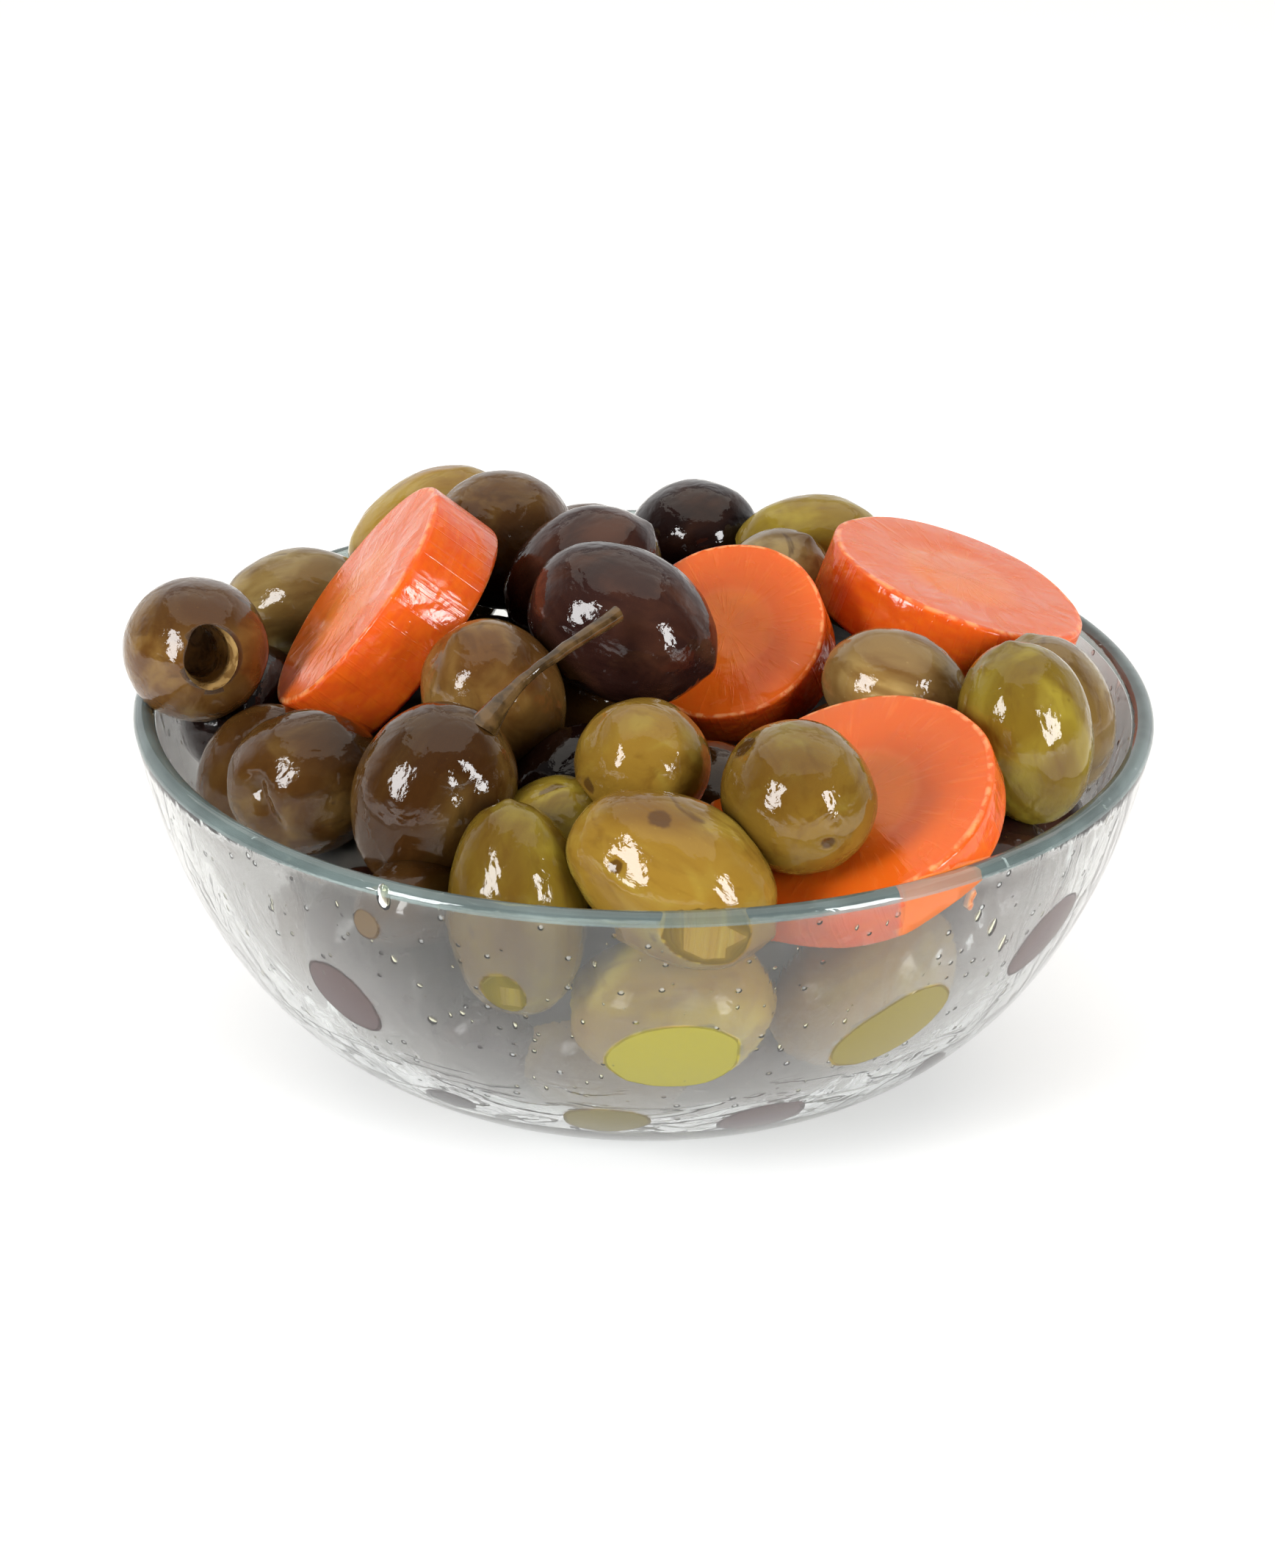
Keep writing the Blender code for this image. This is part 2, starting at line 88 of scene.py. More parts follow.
# Olives placed one by one, as name, kind, centre, long axis, half length and half width, in mm.
PLACED_OLIVES = (
    ("pitted", OliveKind.BROWN, (-61.2, -3.2, 59.8), (0.29, -0.92, 0.28), 11.0, 9.9),
    ("left_back", OliveKind.KHAKI, (-49.5, 25.0, 55.1), (0.97, -0.09, 0.23), 11.0, 7.9),
    ("behind_slice", OliveKind.GREEN, (-31.2, 40.0, 59.8), (0.87, 0.20, 0.46), 12.8, 9.0),
    ("top_back", OliveKind.BROWN, (-20.2, 25.2, 65.2), (-0.66, -0.44, 0.61), 10.5, 9.8),
    ("top_middle", OliveKind.BLACK, (-8.4, 8.0, 66.0), (0.75, 0.09, 0.65), 12.0, 9.5),
    ("top_front", OliveKind.BLACK, (-3.0, -12.0, 67.8), (0.89, -0.33, -0.31), 13.3, 10.4),
    ("back_dark", OliveKind.BLACK, (6.7, 50.0, 54.9), (0.81, -0.34, 0.47), 10.8, 9.3),
    ("back_small", OliveKind.BROWN, (-9.6, 45.0, 54.0), (0.90, 0.30, 0.20), 10.0, 8.5),
    ("back_inner", OliveKind.BLACK, (-6.0, 31.5, 56.5), (0.50, 0.80, 0.10), 10.5, 8.5),
    ("back_wall_left", OliveKind.GREEN, (-12.5, 57.0, 47.0), (0.98, 0.20, 0.05), 11.0, 8.2),
    ("back_wall_right", OliveKind.KHAKI, (25.0, 52.5, 46.5), (0.90, -0.42, 0.10), 11.0, 8.2),
    ("back_wall_far_left", OliveKind.BROWN, (-31.0, 49.5, 46.5), (0.85, 0.52, 0.10), 10.5, 8.0),
    ("back_wall_left_end", OliveKind.LEAF, (-45.5, 36.5, 46.0), (0.60, 0.79, 0.10), 10.0, 7.8),
    ("back_wall_far_right", OliveKind.BLACK, (41.5, 40.8, 46.5), (0.70, -0.70, 0.10), 11.0, 8.0),
    ("back_green", OliveKind.LEAF, (23.9, 40.3, 58.4), (1.00, 0.03, 0.08), 11.0, 7.8),
    ("behind_middle_slice", OliveKind.KHAKI, (17.6, 26.0, 55.6), (0.47, 0.01, 0.88), 11.3, 8.6),
    ("beside_right_slice", OliveKind.KHAKI, (33.6, -13.1, 59.3), (0.93, -0.29, -0.24), 10.2, 8.0),
    ("deep_between_slices", OliveKind.BROWN, (27.5, -12.0, 48.0), (0.30, 0.90, 0.20), 10.0, 8.2),
    ("on_front_slice", OliveKind.GREEN, (19.7, -48.4, 59.7), (0.37, -0.93, -0.08), 11.0, 9.6),
    ("right_green", OliveKind.LEAF, (50.6, -24.5, 57.9), (-0.22, 0.22, 0.95), 12.4, 8.9),
    ("right_dark", OliveKind.KHAKI, (55.0, -8.1, 53.2), (-0.26, 0.39, 0.89), 11.3, 9.2),
    ("middle_green", OliveKind.GREEN, (-0.2, -38.0, 59.2), (0.47, -0.73, 0.50), 9.6, 8.5),
    ("brown_middle", OliveKind.BROWN, (-19.9, -20.2, 60.5), (-0.43, -0.16, 0.89), 10.8, 9.5),
    ("stemmed", OliveKind.BROWN, (-27.2, -39.5, 54.8), (0.44, 0.11, 0.89), 12.8, 10.4),
    ("wrinkled", OliveKind.BROWN, (-44.3, -27.4, 51.2), (0.89, -0.31, 0.34), 11.2, 9.6),
    ("left_low", OliveKind.BROWN, (-52.0, -11.5, 44.3), (0.49, 0.18, 0.85), 10.5, 8.8),
    ("deep_pitted", OliveKind.BLACK, (-56.0, 6.5, 46.8), (0.20, 0.95, 0.20), 11.0, 8.8),
    ("deep_middle", OliveKind.BROWN, (-7.0, 3.0, 53.0), (0.60, 0.75, 0.10), 11.0, 9.0),
    ("deep_left", OliveKind.BLACK, (-21.0, 4.0, 52.5), (0.30, -0.90, 0.20), 11.0, 8.8),
    ("deep_back", OliveKind.BROWN, (3.0, 19.0, 54.5), (0.90, 0.30, -0.15), 10.5, 8.6),
    ("behind_long", OliveKind.LEAF, (-12.6, -42.0, 48.6), (0.60, 0.50, 0.60), 10.5, 8.3),
    ("deep_front", OliveKind.BLACK, (-7.5, -26.5, 50.0), (0.85, 0.40, 0.10), 11.0, 8.8),
    ("deep_front_right", OliveKind.BROWN, (9.5, -24.0, 46.5), (0.40, -0.85, 0.10), 11.0, 8.8),
    ("long_green", OliveKind.LEAF, (-15.7, -53.4, 46.4), (-0.10, 0.23, 0.97), 13.4, 8.9),
    ("front_green", OliveKind.GREEN, (3.7, -56.5, 52.3), (0.87, -0.34, -0.35), 14.2, 9.9),
    ("tip_on_glass", OliveKind.BROWN, (-27.5, -45.5, 44.0), (-0.50, -0.84, 0.20), 13.6, 5.8),
)

# How light an olive is within its kind, from 0 to 1, where it differs from the middle, with painted shade on
# deep ones.
TONES_AND_SHADE = {
    "middle_green": 0.35,
    "on_front_slice": 0.15,
    "front_green": 0.45,
    "pressed_front_low": 1.7,
    "behind_slice": 0.75,
    "long_green": 0.4,
    "right_green": 0.5,
    "back_green": 0.9,
    "beside_right_slice": 1.3,
    "right_dark": 0.5,
    "left_back": 0.6,
    "behind_middle_slice": 0.8,
    "pitted": 0.85,
    "brown_middle": 1.1,
    "stemmed": 0.3,
    "wrinkled": 0.4,
    "left_low": 0.45,
    "top_back": 0.6,
    "top_middle": 0.7,
    "top_front": 0.6,
    "back_dark": 0.2,
    "tip_on_glass": 0.3,
    "pressed_tan": 0.5,
    # Painted shade: olives deep between the others are darkened to about half their kind's brightness.
    "deep_between_slices": 0.1,
    "deep_pitted": 0.0,
    "deep_middle": 0.0,
    "deep_left": 0.0,
    "deep_back": 0.1,
    "deep_front": 0.0,
    "deep_front_right": 0.0,
}

# Dents in single olives, as name, way from the olive's middle, reach and depth in mm.
DENTS = (
    ("wrinkled", (-0.68, -0.70, 0.23), 1.9, 1.3),
    ("wrinkled", (-0.53, -0.80, -0.02), 1.7, 1.2),
    ("wrinkled", (-0.40, -0.85, -0.28), 1.6, 1.0),
    ("wrinkled", (-0.80, -0.56, -0.05), 2.2, 0.9),
    ("stemmed", (0.40, -0.80, 0.42), 3.0, 0.5),
    ("left_low", (0.10, -0.90, 0.40), 2.6, 0.6),
)

# Painted light: how far the flat place where an olive lies on the glass takes a lighter colour, from 0 to 1.
PRESSED_PAINTED_LIGHT = {
    "pressed_front_low": 1.0,
    "pressed_tan": 0.45,
    "pressed_foot_tan": 0.3,
    "long_green": 0.3,
    "front_green": 0.12,
    "tip_on_glass": 0.3,
    "pressed_purple": 0.8,
    "pressed_right_high": 0.9,
    "pressed_foot_purple": 0.8,
}

# Marks on single olives, as name, way from the olive's middle, reach and depth in mm. A mark
# with a depth below zero stands up as a nub and stays green.
MARKS = (
    ("front_green", (-0.16, -0.32, 0.93), 1.7, 0.35),
    ("front_green", (-0.68, -0.62, 0.40), 1.1, 0.2),
    ("on_front_slice", (0.33, -0.93, -0.17), 1.1, 0.7),
    ("on_front_slice", (-0.71, 0.01, 0.70), 1.9, 0.25),
    ("right_green", (-0.51, -0.08, 0.86), 0.9, -0.35),
    ("middle_green", (-0.80, -0.58, -0.11), 1.3, 0.15),
    ("long_green", (-0.08, -0.72, -0.69), 1.9, -2.0),
)

# Olives pressed to the glass, as name, kind, bearing and height of the touching point, climb of the
# long axis, half length, half width and how far the glass flattens it, in degrees and mm.
PRESSED_OLIVES = (
    ("pressed_front_low", OliveKind.LEAF, -85.8, 27.6, 3, 13.2, 9.8, 1.9),
    ("pressed_purple", OliveKind.BLACK, -128.0, 29.5, -58, 12.0, 9.0, 1.1),
    ("pressed_tan", OliveKind.GREEN, -58.0, 27.5, 35, 13.5, 9.2, 1.7),
    ("pressed_right_high", OliveKind.BLACK, -35.0, 33.5, 31, 12.5, 9.2, 1.2),
    ("pressed_right", OliveKind.BLACK, -13.0, 30.0, 65, 11.5, 9.0, 0.7),
    ("pressed_foot_tan", OliveKind.KHAKI, -95.5, 13.0, 5, 12.0, 9.0, 0.8),
    ("pressed_foot_purple", OliveKind.BLACK, -71.0, 12.5, 8, 12.5, 9.0, 0.9),
)

# Rows along the wall, as height, how many go round, and the bearings that stay empty.
WALL_ROWS = (
    (13 * MM, 9, (-112, -54)),
    (30 * MM, 14, (-107, -64)),
    (47 * MM, 18, (-165, 42)),
    (40 * MM, 16, (42, 195)),
)
ROW_SEED = 11
ROW_HALF_LENGTH = (10.4 * MM, 12.6 * MM)
ROW_HALF_WIDTH = (8.2 * MM, 9.4 * MM)
ROW_PRESS = 0.4 * MM
DARK_BEARINGS = (-150, -88)
ROW_CLEARANCE = 0.8
SLICE_CLEARANCE = 0.75

# Rings that fill the places between the placed olives: radius, height and how many go round.
FILL_RINGS = (
    (48 * MM, 53 * MM, 18),
    (34 * MM, 58 * MM, 14),
    (18 * MM, 59 * MM, 9),
    (40 * MM, 50 * MM, 15),
    (27 * MM, 53 * MM, 12),
)

# Outline of the near-black core under the olives, painted shade for the gaps between them, as radius and
# height, in mm.
CORE_OUTLINE = (
    (0.0, 4.6),
    (19.0, 4.6),
    (31.0, 9.0),
    (41.0, 16.0),
    (48.0, 26.0),
    (52.5, 38.0),
    (51.0, 42.0),
    (46.0, 47.0),
    (32.0, 49.0),
    (21.0, 47.0),
    (14.0, 44.0),
    (0.0, 43.0),
)

# Larger beads, as bearing in degrees, height, radius, length over width and inset, in mm.
PLACED_BEADS = (
    (-115.3, 30.5, 0.75, 1.1, 3.1),
    (-115.8, 36.5, 0.5, 1.0, 3.1),
    (-111.0, 33.0, 0.45, 1.3, 3.1),
    (-118.5, 40.0, 0.5, 1.6, 3.1),
    (-47.0, 41.0, 0.7, 2.2, 3.1),
    (-50.0, 44.0, 0.55, 1.8, 3.1),
    (-44.0, 37.0, 0.6, 2.6, 3.1),
    (-117.6, 51.2, 1.1, 1.8, 0.4),
)


def new_object(name: str, builder: BMesh, sharp: float = 35.0) -> Object:
    """Turns a bmesh into a smooth-shaded object in the scene.

    Args:
        name: The piece's name.
        builder: The finished shape, which is freed.
        sharp: Angle in degrees from which an edge stays sharp.

    Returns:
        The new object, at the origin.
    """
    mesh = bpy.data.meshes.new(name)
    builder.to_mesh(mesh)
    builder.free()
    mesh.shade_smooth()
    mesh.set_sharp_from_angle(angle=math.radians(sharp))
    made = bpy.data.objects.new(name, mesh)
    bpy.context.scene.collection.objects.link(made)
    return made


def turned(outline: list[tuple[float, float]], segments: int) -> BMesh:
    """Turns an outline about Z into a closed solid.

    Args:
        outline: Points of radius and height, from the axis back to the axis.
        segments: Steps of the turn.

    Returns:
        The solid, facing outwards.
    """
    builder = bmesh.new()
    points = [builder.verts.new((radius, 0.0, height)) for radius, height in outline]
    edges = [builder.edges.new(pair) for pair in zip(points, points[1:])]
    turn = {"cent": Vector(), "axis": UP, "angle": math.tau, "steps": segments}
    bmesh.ops.spin(builder, geom=points + edges, use_merge=True, **turn)
    bmesh.ops.remove_doubles(builder, verts=builder.verts, dist=1e-6)
    bmesh.ops.recalc_face_normals(builder, faces=builder.faces)
    return builder


def aim(centre: Vector, axis: Vector) -> Matrix:
    """Gives the place of a piece whose own Z lies along an axis.

    Args:
        centre: Where the piece's middle goes.
        axis: The way its own Z goes.

    Returns:
        The matrix of that place.
    """
    return Matrix.Translation(centre) @ axis.to_track_quat("Z", "Y").to_matrix().to_4x4()


def level_way(bearing: float) -> Vector:
    """The level way from the bowl's middle at a bearing, in degrees from +X."""
    around = math.radians(bearing)
    return Vector((math.cos(around), math.sin(around), 0.0))


def cut_with(target: Object, tool: Object, operation: str) -> None:
    """Applies one Boolean to an object.

    Args:
        target: The object that is cut.
        tool: The closed solid that it is cut with.
        operation: INTERSECT or DIFFERENCE.
    """
    step = target.modifiers.new("cut", "BOOLEAN")
    step.operation = operation
    step.object = tool
    step.solver = "EXACT"
    graph = bpy.context.evaluated_depsgraph_get()
    result = bpy.data.meshes.new_from_object(target.evaluated_get(graph))
    target.modifiers.clear()
    target.data = result


def remove(thing: Object) -> None:
    """Removes a helper object from the file."""
    bpy.data.objects.remove(thing, do_unlink=True)


class Tree:
    """Adds and links nodes in one node tree."""

    def __init__(self, tree: NodeTree) -> None:
        """Keeps the tree that nodes go into."""
        self.tree = tree

    def fill(self, node: Node, inputs: Inputs) -> None:
        """Links or sets inputs of a node.

        Args:
            node: The node.
            inputs: Socket name or number to a value or to the output that feeds it.
        """
        for key, value in inputs.items():
            socket = node.inputs[key]
            if isinstance(value, NodeSocket):
                self.tree.links.new(value, socket)
            else:
                socket.default_value = (*value, 1.0) if socket.type == "RGBA" else value

    def node(self, kind: str, inputs: Inputs | None = None, **settings: object) -> Node:
        """Adds a node.

        Args:
            kind: The node's type.
            inputs: Socket name or number to a value or to the output that feeds it.
            **settings: The node's own properties.

        Returns:
            The new node.
        """
        made = self.tree.nodes.new(kind)
        for key, value in settings.items():
            setattr(made, key, value)
        self.fill(made, inputs or {})
        return made

    def math(self, operation: str, first: object, second: object = 0.0, clamp: bool = False) -> NodeSocket:
        """Adds a Math node and returns its output."""
        made = self.node("ShaderNodeMath", {0: first, 1: second}, operation=operation, use_clamp=clamp)
        return made.outputs[0]

    def plus(self, first: object, second: object, clamp: bool = False) -> NodeSocket:
        """Adds two values."""
        return self.math("ADD", first, second, clamp)

    def minus(self, first: object, second: object) -> NodeSocket:
        """Takes the second value from the first."""
        return self.math("SUBTRACT", first, second)

    def times(self, first: object, second: object, clamp: bool = False) -> NodeSocket:
        """Multiplies two values."""
        return self.math("MULTIPLY", first, second, clamp)

    def swing(self, value: object, reach: float) -> NodeSocket:
        """Turns a value from 0..1 into one that swings about zero."""
        return self.times(self.minus(value, 0.5), reach)

    def noise(self, vector: object, scale: object, detail: float = 2.0, warp: float = 0.0) -> NodeSocket:
        """Adds a Noise Texture and returns its value."""
        inputs = {"Vector": vector, "Scale": scale, "Detail": detail, "Distortion": warp}
        return self.node("ShaderNodeTexNoise", inputs).outputs["Fac"]

    def spots(self, vector: object, scale: float, core: float, edge: float) -> NodeSocket:
        """Adds round spots, full up to the core's radius and gone at the edge's."""
        cells = self.node("ShaderNodeTexVoronoi", {"Vector": vector, "Scale": scale, "Randomness": 1.0})
        return self.ramp(cells.outputs["Distance"], core, edge, 1.0, 0.0)

    def ramp(
        self, value: object, low: float, high: float, to_low: float = 0.0, to_high: float = 1.0
    ) -> NodeSocket:
        """Adds a smooth Map Range from low..high and returns its output."""
        inputs = {"Value": value, "From Min": low, "From Max": high, "To Min": to_low, "To Max": to_high}
        return self.node("ShaderNodeMapRange", inputs, interpolation_type="SMOOTHSTEP").outputs[0]

    def blend(self, factor: object, first: object, second: object) -> NodeSocket:
        """Adds a colour Mix node and returns its colour."""
        return self.node("ShaderNodeMix", {0: factor, 6: first, 7: second}, data_type="RGBA").outputs[2]

    def tinge(self, base: object, mask: object, amount: float, tint: object) -> NodeSocket:
        """Blends an amount of a colour into a base where a mask says."""
        return self.blend(self.times(mask, amount), base, tint)

    def stretch(self, vector: object, scale: Point) -> NodeSocket:
        """Adds a Mapping node that scales a coordinate and returns it."""
        return self.node("ShaderNodeMapping", {"Vector": vector, "Scale": scale}).outputs[0]

    def split(self, vector: object) -> Sockets:
        """Adds a Separate XYZ node and returns its outputs."""
        return self.node("ShaderNodeSeparateXYZ", {0: vector}).outputs

    def vector_math(self, operation: str, *inputs: object) -> Sockets:
        """Adds a Vector Math node and returns its outputs."""
        return self.node("ShaderNodeVectorMath", dict(enumerate(inputs)), operation=operation).outputs

    def bump(self, height: object, strength: float, distance: float) -> NodeSocket:
        """Adds a Bump node and returns its normal."""
        inputs = {"Height": height, "Strength": strength, "Distance": distance}
        return self.node("ShaderNodeBump", inputs).outputs[0]

    def place(self) -> NodeSocket:
        """Gives the object's own coordinates."""
        return self.node("ShaderNodeTexCoord").outputs["Object"]

    def kept(self, name: str, output: str = "Fac") -> NodeSocket:
        """Gives what the mesh keeps under a name."""
        return self.node("ShaderNodeAttribute", attribute_name=name).outputs[output]

    def group(self, group: NodeTree, inputs: Inputs) -> Sockets:
        """Adds a node group and returns its outputs."""
        return self.node("ShaderNodeGroup", inputs, node_tree=group).outputs


def new_group(name: str, takes: dict[str, str], gives: dict[str, str]) -> tuple[Tree, dict[str, NodeSocket]]:
    """Starts a shader node group.

    Args:
        name: The group's name.
        takes: Input names and socket types.
        gives: Output names and socket types.

    Returns:
        A Tree on the group, and its inputs by name.
    """
    group = bpy.data.node_groups.new(name, "ShaderNodeTree")
    for sockets, way in ((takes, "INPUT"), (gives, "OUTPUT")):
        for label, kind in sockets.items():
            group.interface.new_socket(label, in_out=way, socket_type=kind)
    start = group.nodes.new("NodeGroupInput")
    return Tree(group), {label: start.outputs[label] for label in takes}


class SharedEffects:
    """Node groups that more than one finish uses, each made once."""

    def __init__(self) -> None:
        """Builds every group."""
        self.wet_film = self._wet_film()
        self.mottling = self._mottling()
        self.smears = self._smears()

    @staticmethod
    def _wet_film() -> NodeTree:
        """Oil on a skin or cut face: ripples for the bump, and wet and less wet spots for the roughness."""
        takes = {"Coordinates": VECTOR, "Ripple Scale": FLOAT, "Wet Roughness": FLOAT, "Dry Roughness": FLOAT}
        tree, take = new_group("wet_film", takes, {"Height": FLOAT, "Roughness": FLOAT})
        place = take["Coordinates"]
        broad = tree.noise(place, take["Ripple Scale"], 2.0, 0.6)
        fine = tree.noise(place, tree.times(take["Ripple Scale"], 4.5), 3.0)
        height = tree.plus(broad, tree.times(fine, 0.16))
        patches = tree.ramp(tree.noise(place, tree.times(take["Ripple Scale"], 0.8), 4.0, 1.2), 0.46, 0.66)
        dry = tree.minus(take["Dry Roughness"], take["Wet Roughness"])
        roughness = tree.plus(take["Wet Roughness"], tree.times(patches, dry))
        tree.node("NodeGroupOutput", {"Height": height, "Roughness": roughness})
        return tree.tree

    @staticmethod
    def _mottling() -> NodeTree:
        """Olive skin: blotches, streaks along the fruit, pores, a tone of its own for each fruit, and painted
        light on its flat place on the glass.
        """
        takes = {"Coordinates": VECTOR, "Tone": FLOAT, "Pressed": FLOAT, "Mark": FLOAT}
        takes |= dict.fromkeys(("Pale", "Body", "Deep", "Scar", "Fresh"), COLOUR) | {"Blotches": FLOAT}
        tree, take = new_group("olive_mottling", takes, {"Color": COLOUR})
        place = take["Coordinates"]
        shifted = tree.plus(tree.noise(place, take["Blotches"], 3.0, 0.8), tree.swing(take["Tone"], 0.15))
        broad = tree.ramp(tree.noise(place, 0.55, 1.0, 0.4), 0.46, 0.62)
        streaks = tree.noise(tree.stretch(place, (2.2, 2.2, 0.6)), 1.6, 3.0, 0.6)
        base = tree.blend(tree.ramp(shifted, 0.42, 0.68), take["Body"], take["Pale"])
        base = tree.tinge(base, broad, 0.7, take["Deep"])
        base = tree.tinge(base, tree.ramp(streaks, 0.5, 0.72), 0.5, take["Deep"])
        base = tree.tinge(base, tree.spots(place, 6.5, 0.04, 0.13), 0.22, take["Pale"])
        bruise = tree.ramp(tree.noise(place, 1.1, 4.0, 1.0), 0.66, 0.73)
        base = tree.tinge(base, bruise, 0.75, take["Scar"])
        torn = tree.swing(tree.noise(place, 7.0, 2.0), 0.5)
        base = tree.tinge(base, tree.ramp(tree.plus(take["Mark"], torn), 0.32, 0.62), 0.85, take["Scar"])
        bright = tree.plus(0.5, take["Tone"])
        final = tree.node("ShaderNodeHueSaturation", {"Color": base, "Value": bright}).outputs[0]
        # Painted light: the flat place on the glass is drawn towards a lighter colour.
        shown = tree.tinge(final, take["Pressed"], 0.85, take["Fresh"])
        tree.node("NodeGroupOutput", {"Color": shown})
        return tree.tree

    @staticmethod
    def _smears() -> NodeTree:
        """Oil smeared and run down glass: cloudy and clear places, runs and beads, heavier to left and right
        in part as painted sheen.
        """
        takes = {"Coordinates": VECTOR, "Level": FLOAT}
        tree, take = new_group("oil_smears", takes, {"Cloud": FLOAT, "Bright": FLOAT, "Height": FLOAT})
        place = take["Coordinates"]
        parts = tree.split(place)
        # Partly painted sheen: haze and streaks grow towards the bowl's left and right, away from X = 0,
        # where the wall looks paler at a slant.
        side = tree.ramp(tree.math("ABSOLUTE", tree.minus(parts["X"], 0.002)), 0.020, 0.054)
        drift = tree.noise(tree.stretch(place, (1.0, 1.0, 0.6)), 48.0, 4.0, 0.8)
        haze = tree.plus(tree.ramp(drift, 0.34, 0.68, 0.03, 0.09), tree.times(side, 0.05))
        runs = tree.noise(tree.stretch(place, (1.0, 1.0, 0.3)), 150.0, 5.0, 1.4)
        patches = tree.ramp(tree.noise(place, 46.0, 3.0, 0.8), 0.44, 0.62)
        often = tree.ramp(side, 0.0, 1.0, 0.2, 1.0)
        streaks = tree.times(tree.ramp(runs, 0.52, 0.64), tree.times(patches, often))
        waves = tree.ramp(tree.noise(tree.stretch(place, (0.6, 0.6, 2.4)), 95.0, 3.0, 1.6), 0.5, 0.58)
        waves = tree.times(waves, tree.ramp(parts["Z"], 0.012, 0.026, 1.0, 0.0))
        bead = tree.spots(place, 330.0, 0.08, 0.16)
        bright = tree.plus(tree.times(streaks, 0.34), tree.times(waves, 0.22))
        bright = tree.plus(bright, tree.times(bead, 0.16))
        wave = tree.swing(tree.noise(place, 60.0, 2.0), 0.005)
        tilt = tree.ramp(parts["X"], -0.036, -0.010, 0.009, 0.0)
        above = tree.minus(tree.plus(parts["Z"], wave), tree.plus(take["Level"], tilt))
        cloud = tree.times(tree.plus(haze, bright), tree.ramp(above, -0.0003, 0.0010, 0.25, 1.0), True)
        rise = tree.plus(tree.times(runs, 0.5), tree.plus(bead, tree.times(waves, 0.8)))
        tree.node("NodeGroupOutput", {"Cloud": cloud, "Bright": bright, "Height": rise})
        return tree.tree


@dataclass(frozen=True)
class Finish:
    """A material. Each kind of finish says what its shader's sockets take."""

    name: str

    # The colour that shadow and diffuse rays take as they pass a clear material, so that what is
    # inside is lit, or None for a material that stops them.
    passing = None

    def sockets(self, tree: Tree, effects: SharedEffects) -> Inputs:
        """Builds what the sockets of the Principled BSDF take.

        Args:
            tree: The material's tree.
            effects: The shared node groups.

        Returns:
            Socket name to a value or to the output that feeds it.
        """
        raise NotImplementedError

    def make(self, effects: SharedEffects) -> Material:
        """Builds the material.

        Args:
            effects: The shared node groups.

        Returns:
            The material.
        """
        made = bpy.data.materials.new(self.name)
        made.use_nodes = True
        tree = Tree(made.node_tree)
        shader = made.node_tree.nodes["Principled BSDF"]
        tree.fill(shader, self.sockets(tree, effects))
        if self.passing:
            path = tree.node("ShaderNodeLightPath")
            window = tree.node("ShaderNodeBsdfTransparent", {"Color": self.passing})
            passes = tree.math("MAXIMUM", path.outputs["Is Shadow Ray"], path.outputs["Is Diffuse Ray"])
            both = tree.node("ShaderNodeMixShader", {0: passes, 1: shader.outputs[0], 2: window.outputs[0]})
            tree.fill(made.node_tree.nodes["Material Output"], {"Surface": both.outputs[0]})
        return made


@dataclass(frozen=True)
class OliveFinish(Finish):
    """Skin of one kind of olive, with a lighter colour painted where it lies flat on the glass, standing in
    for light.
    """

    pale: Colour
    body: Colour
    deep: Colour
    scar: Colour
    # Painted light: the lighter colour that the flat place on the glass takes.
    painted_glow_colour: Colour = (0.34, 0.295, 0.015)
    blotches: float = 1.1
    wet: float = 0.03
    dry: float = 0.09

    def sockets(self, tree: Tree, effects: SharedEffects) -> Inputs:
        """Mottled skin under a film of oil.

        Args:
            tree: The material's tree.
            effects: The shared node groups.

        Returns:
            Socket name to a value or to the output that feeds it.
        """
        place = tree.kept("skin", "Vector")
        skin = tree.group(
            effects.mottling,
            {
                "Coordinates": place,
                "Tone": tree.kept("tone"),
                "Pressed": tree.kept("pressed"),
                "Mark": tree.kept("mark"),
                "Pale": self.pale,
                "Body": self.body,
                "Deep": self.deep,
                "Scar": self.scar,
                "Fresh": self.painted_glow_colour,
                "Blotches": self.blotches,
            },
        )
        film = tree.group(
            effects.wet_film,
            {"Coordinates": place, "Ripple Scale": 2.3, "Wet Roughness": self.wet, "Dry Roughness": self.dry},
        )
        return {
            "Base Color": skin["Color"],
            "Roughness": film["Roughness"],
            "Normal": tree.bump(film["Height"], 0.55, 0.0006),
            "IOR": 1.4,
        }


# Each kind's skin colours: pale, body, deep and scar, and its painted light colour on the glass where that
# isn't green.
SKIN_COLOURS = {
    OliveKind.GREEN: ((0.30, 0.215, 0.035), (0.24, 0.135, 0.018), (0.14, 0.062, 0.008), (0.07, 0.028, 0.006)),
    OliveKind.LEAF: ((0.24, 0.18, 0.022), (0.15, 0.095, 0.010), (0.10, 0.048, 0.007), (0.06, 0.026, 0.006)),
    OliveKind.KHAKI: ((0.23, 0.165, 0.06), (0.15, 0.09, 0.025), (0.06, 0.025, 0.006), (0.045, 0.02, 0.006)),
    OliveKind.BROWN: (
        *((0.115, 0.062, 0.016), (0.065, 0.027, 0.006), (0.034, 0.012, 0.003), (0.018, 0.008, 0.003)),
        (0.36, 0.23, 0.09),
    ),
    OliveKind.BLACK: (
        *((0.048, 0.018, 0.010), (0.022, 0.008, 0.006), (0.009, 0.003, 0.003), (0.040, 0.017, 0.007)),
        (0.085, 0.040, 0.038),
    ),
}
OLIVE_FINISHES = {kind: OliveFinish(f"{kind.value}_olive_skin", *skin) for kind, skin in SKIN_COLOURS.items()}


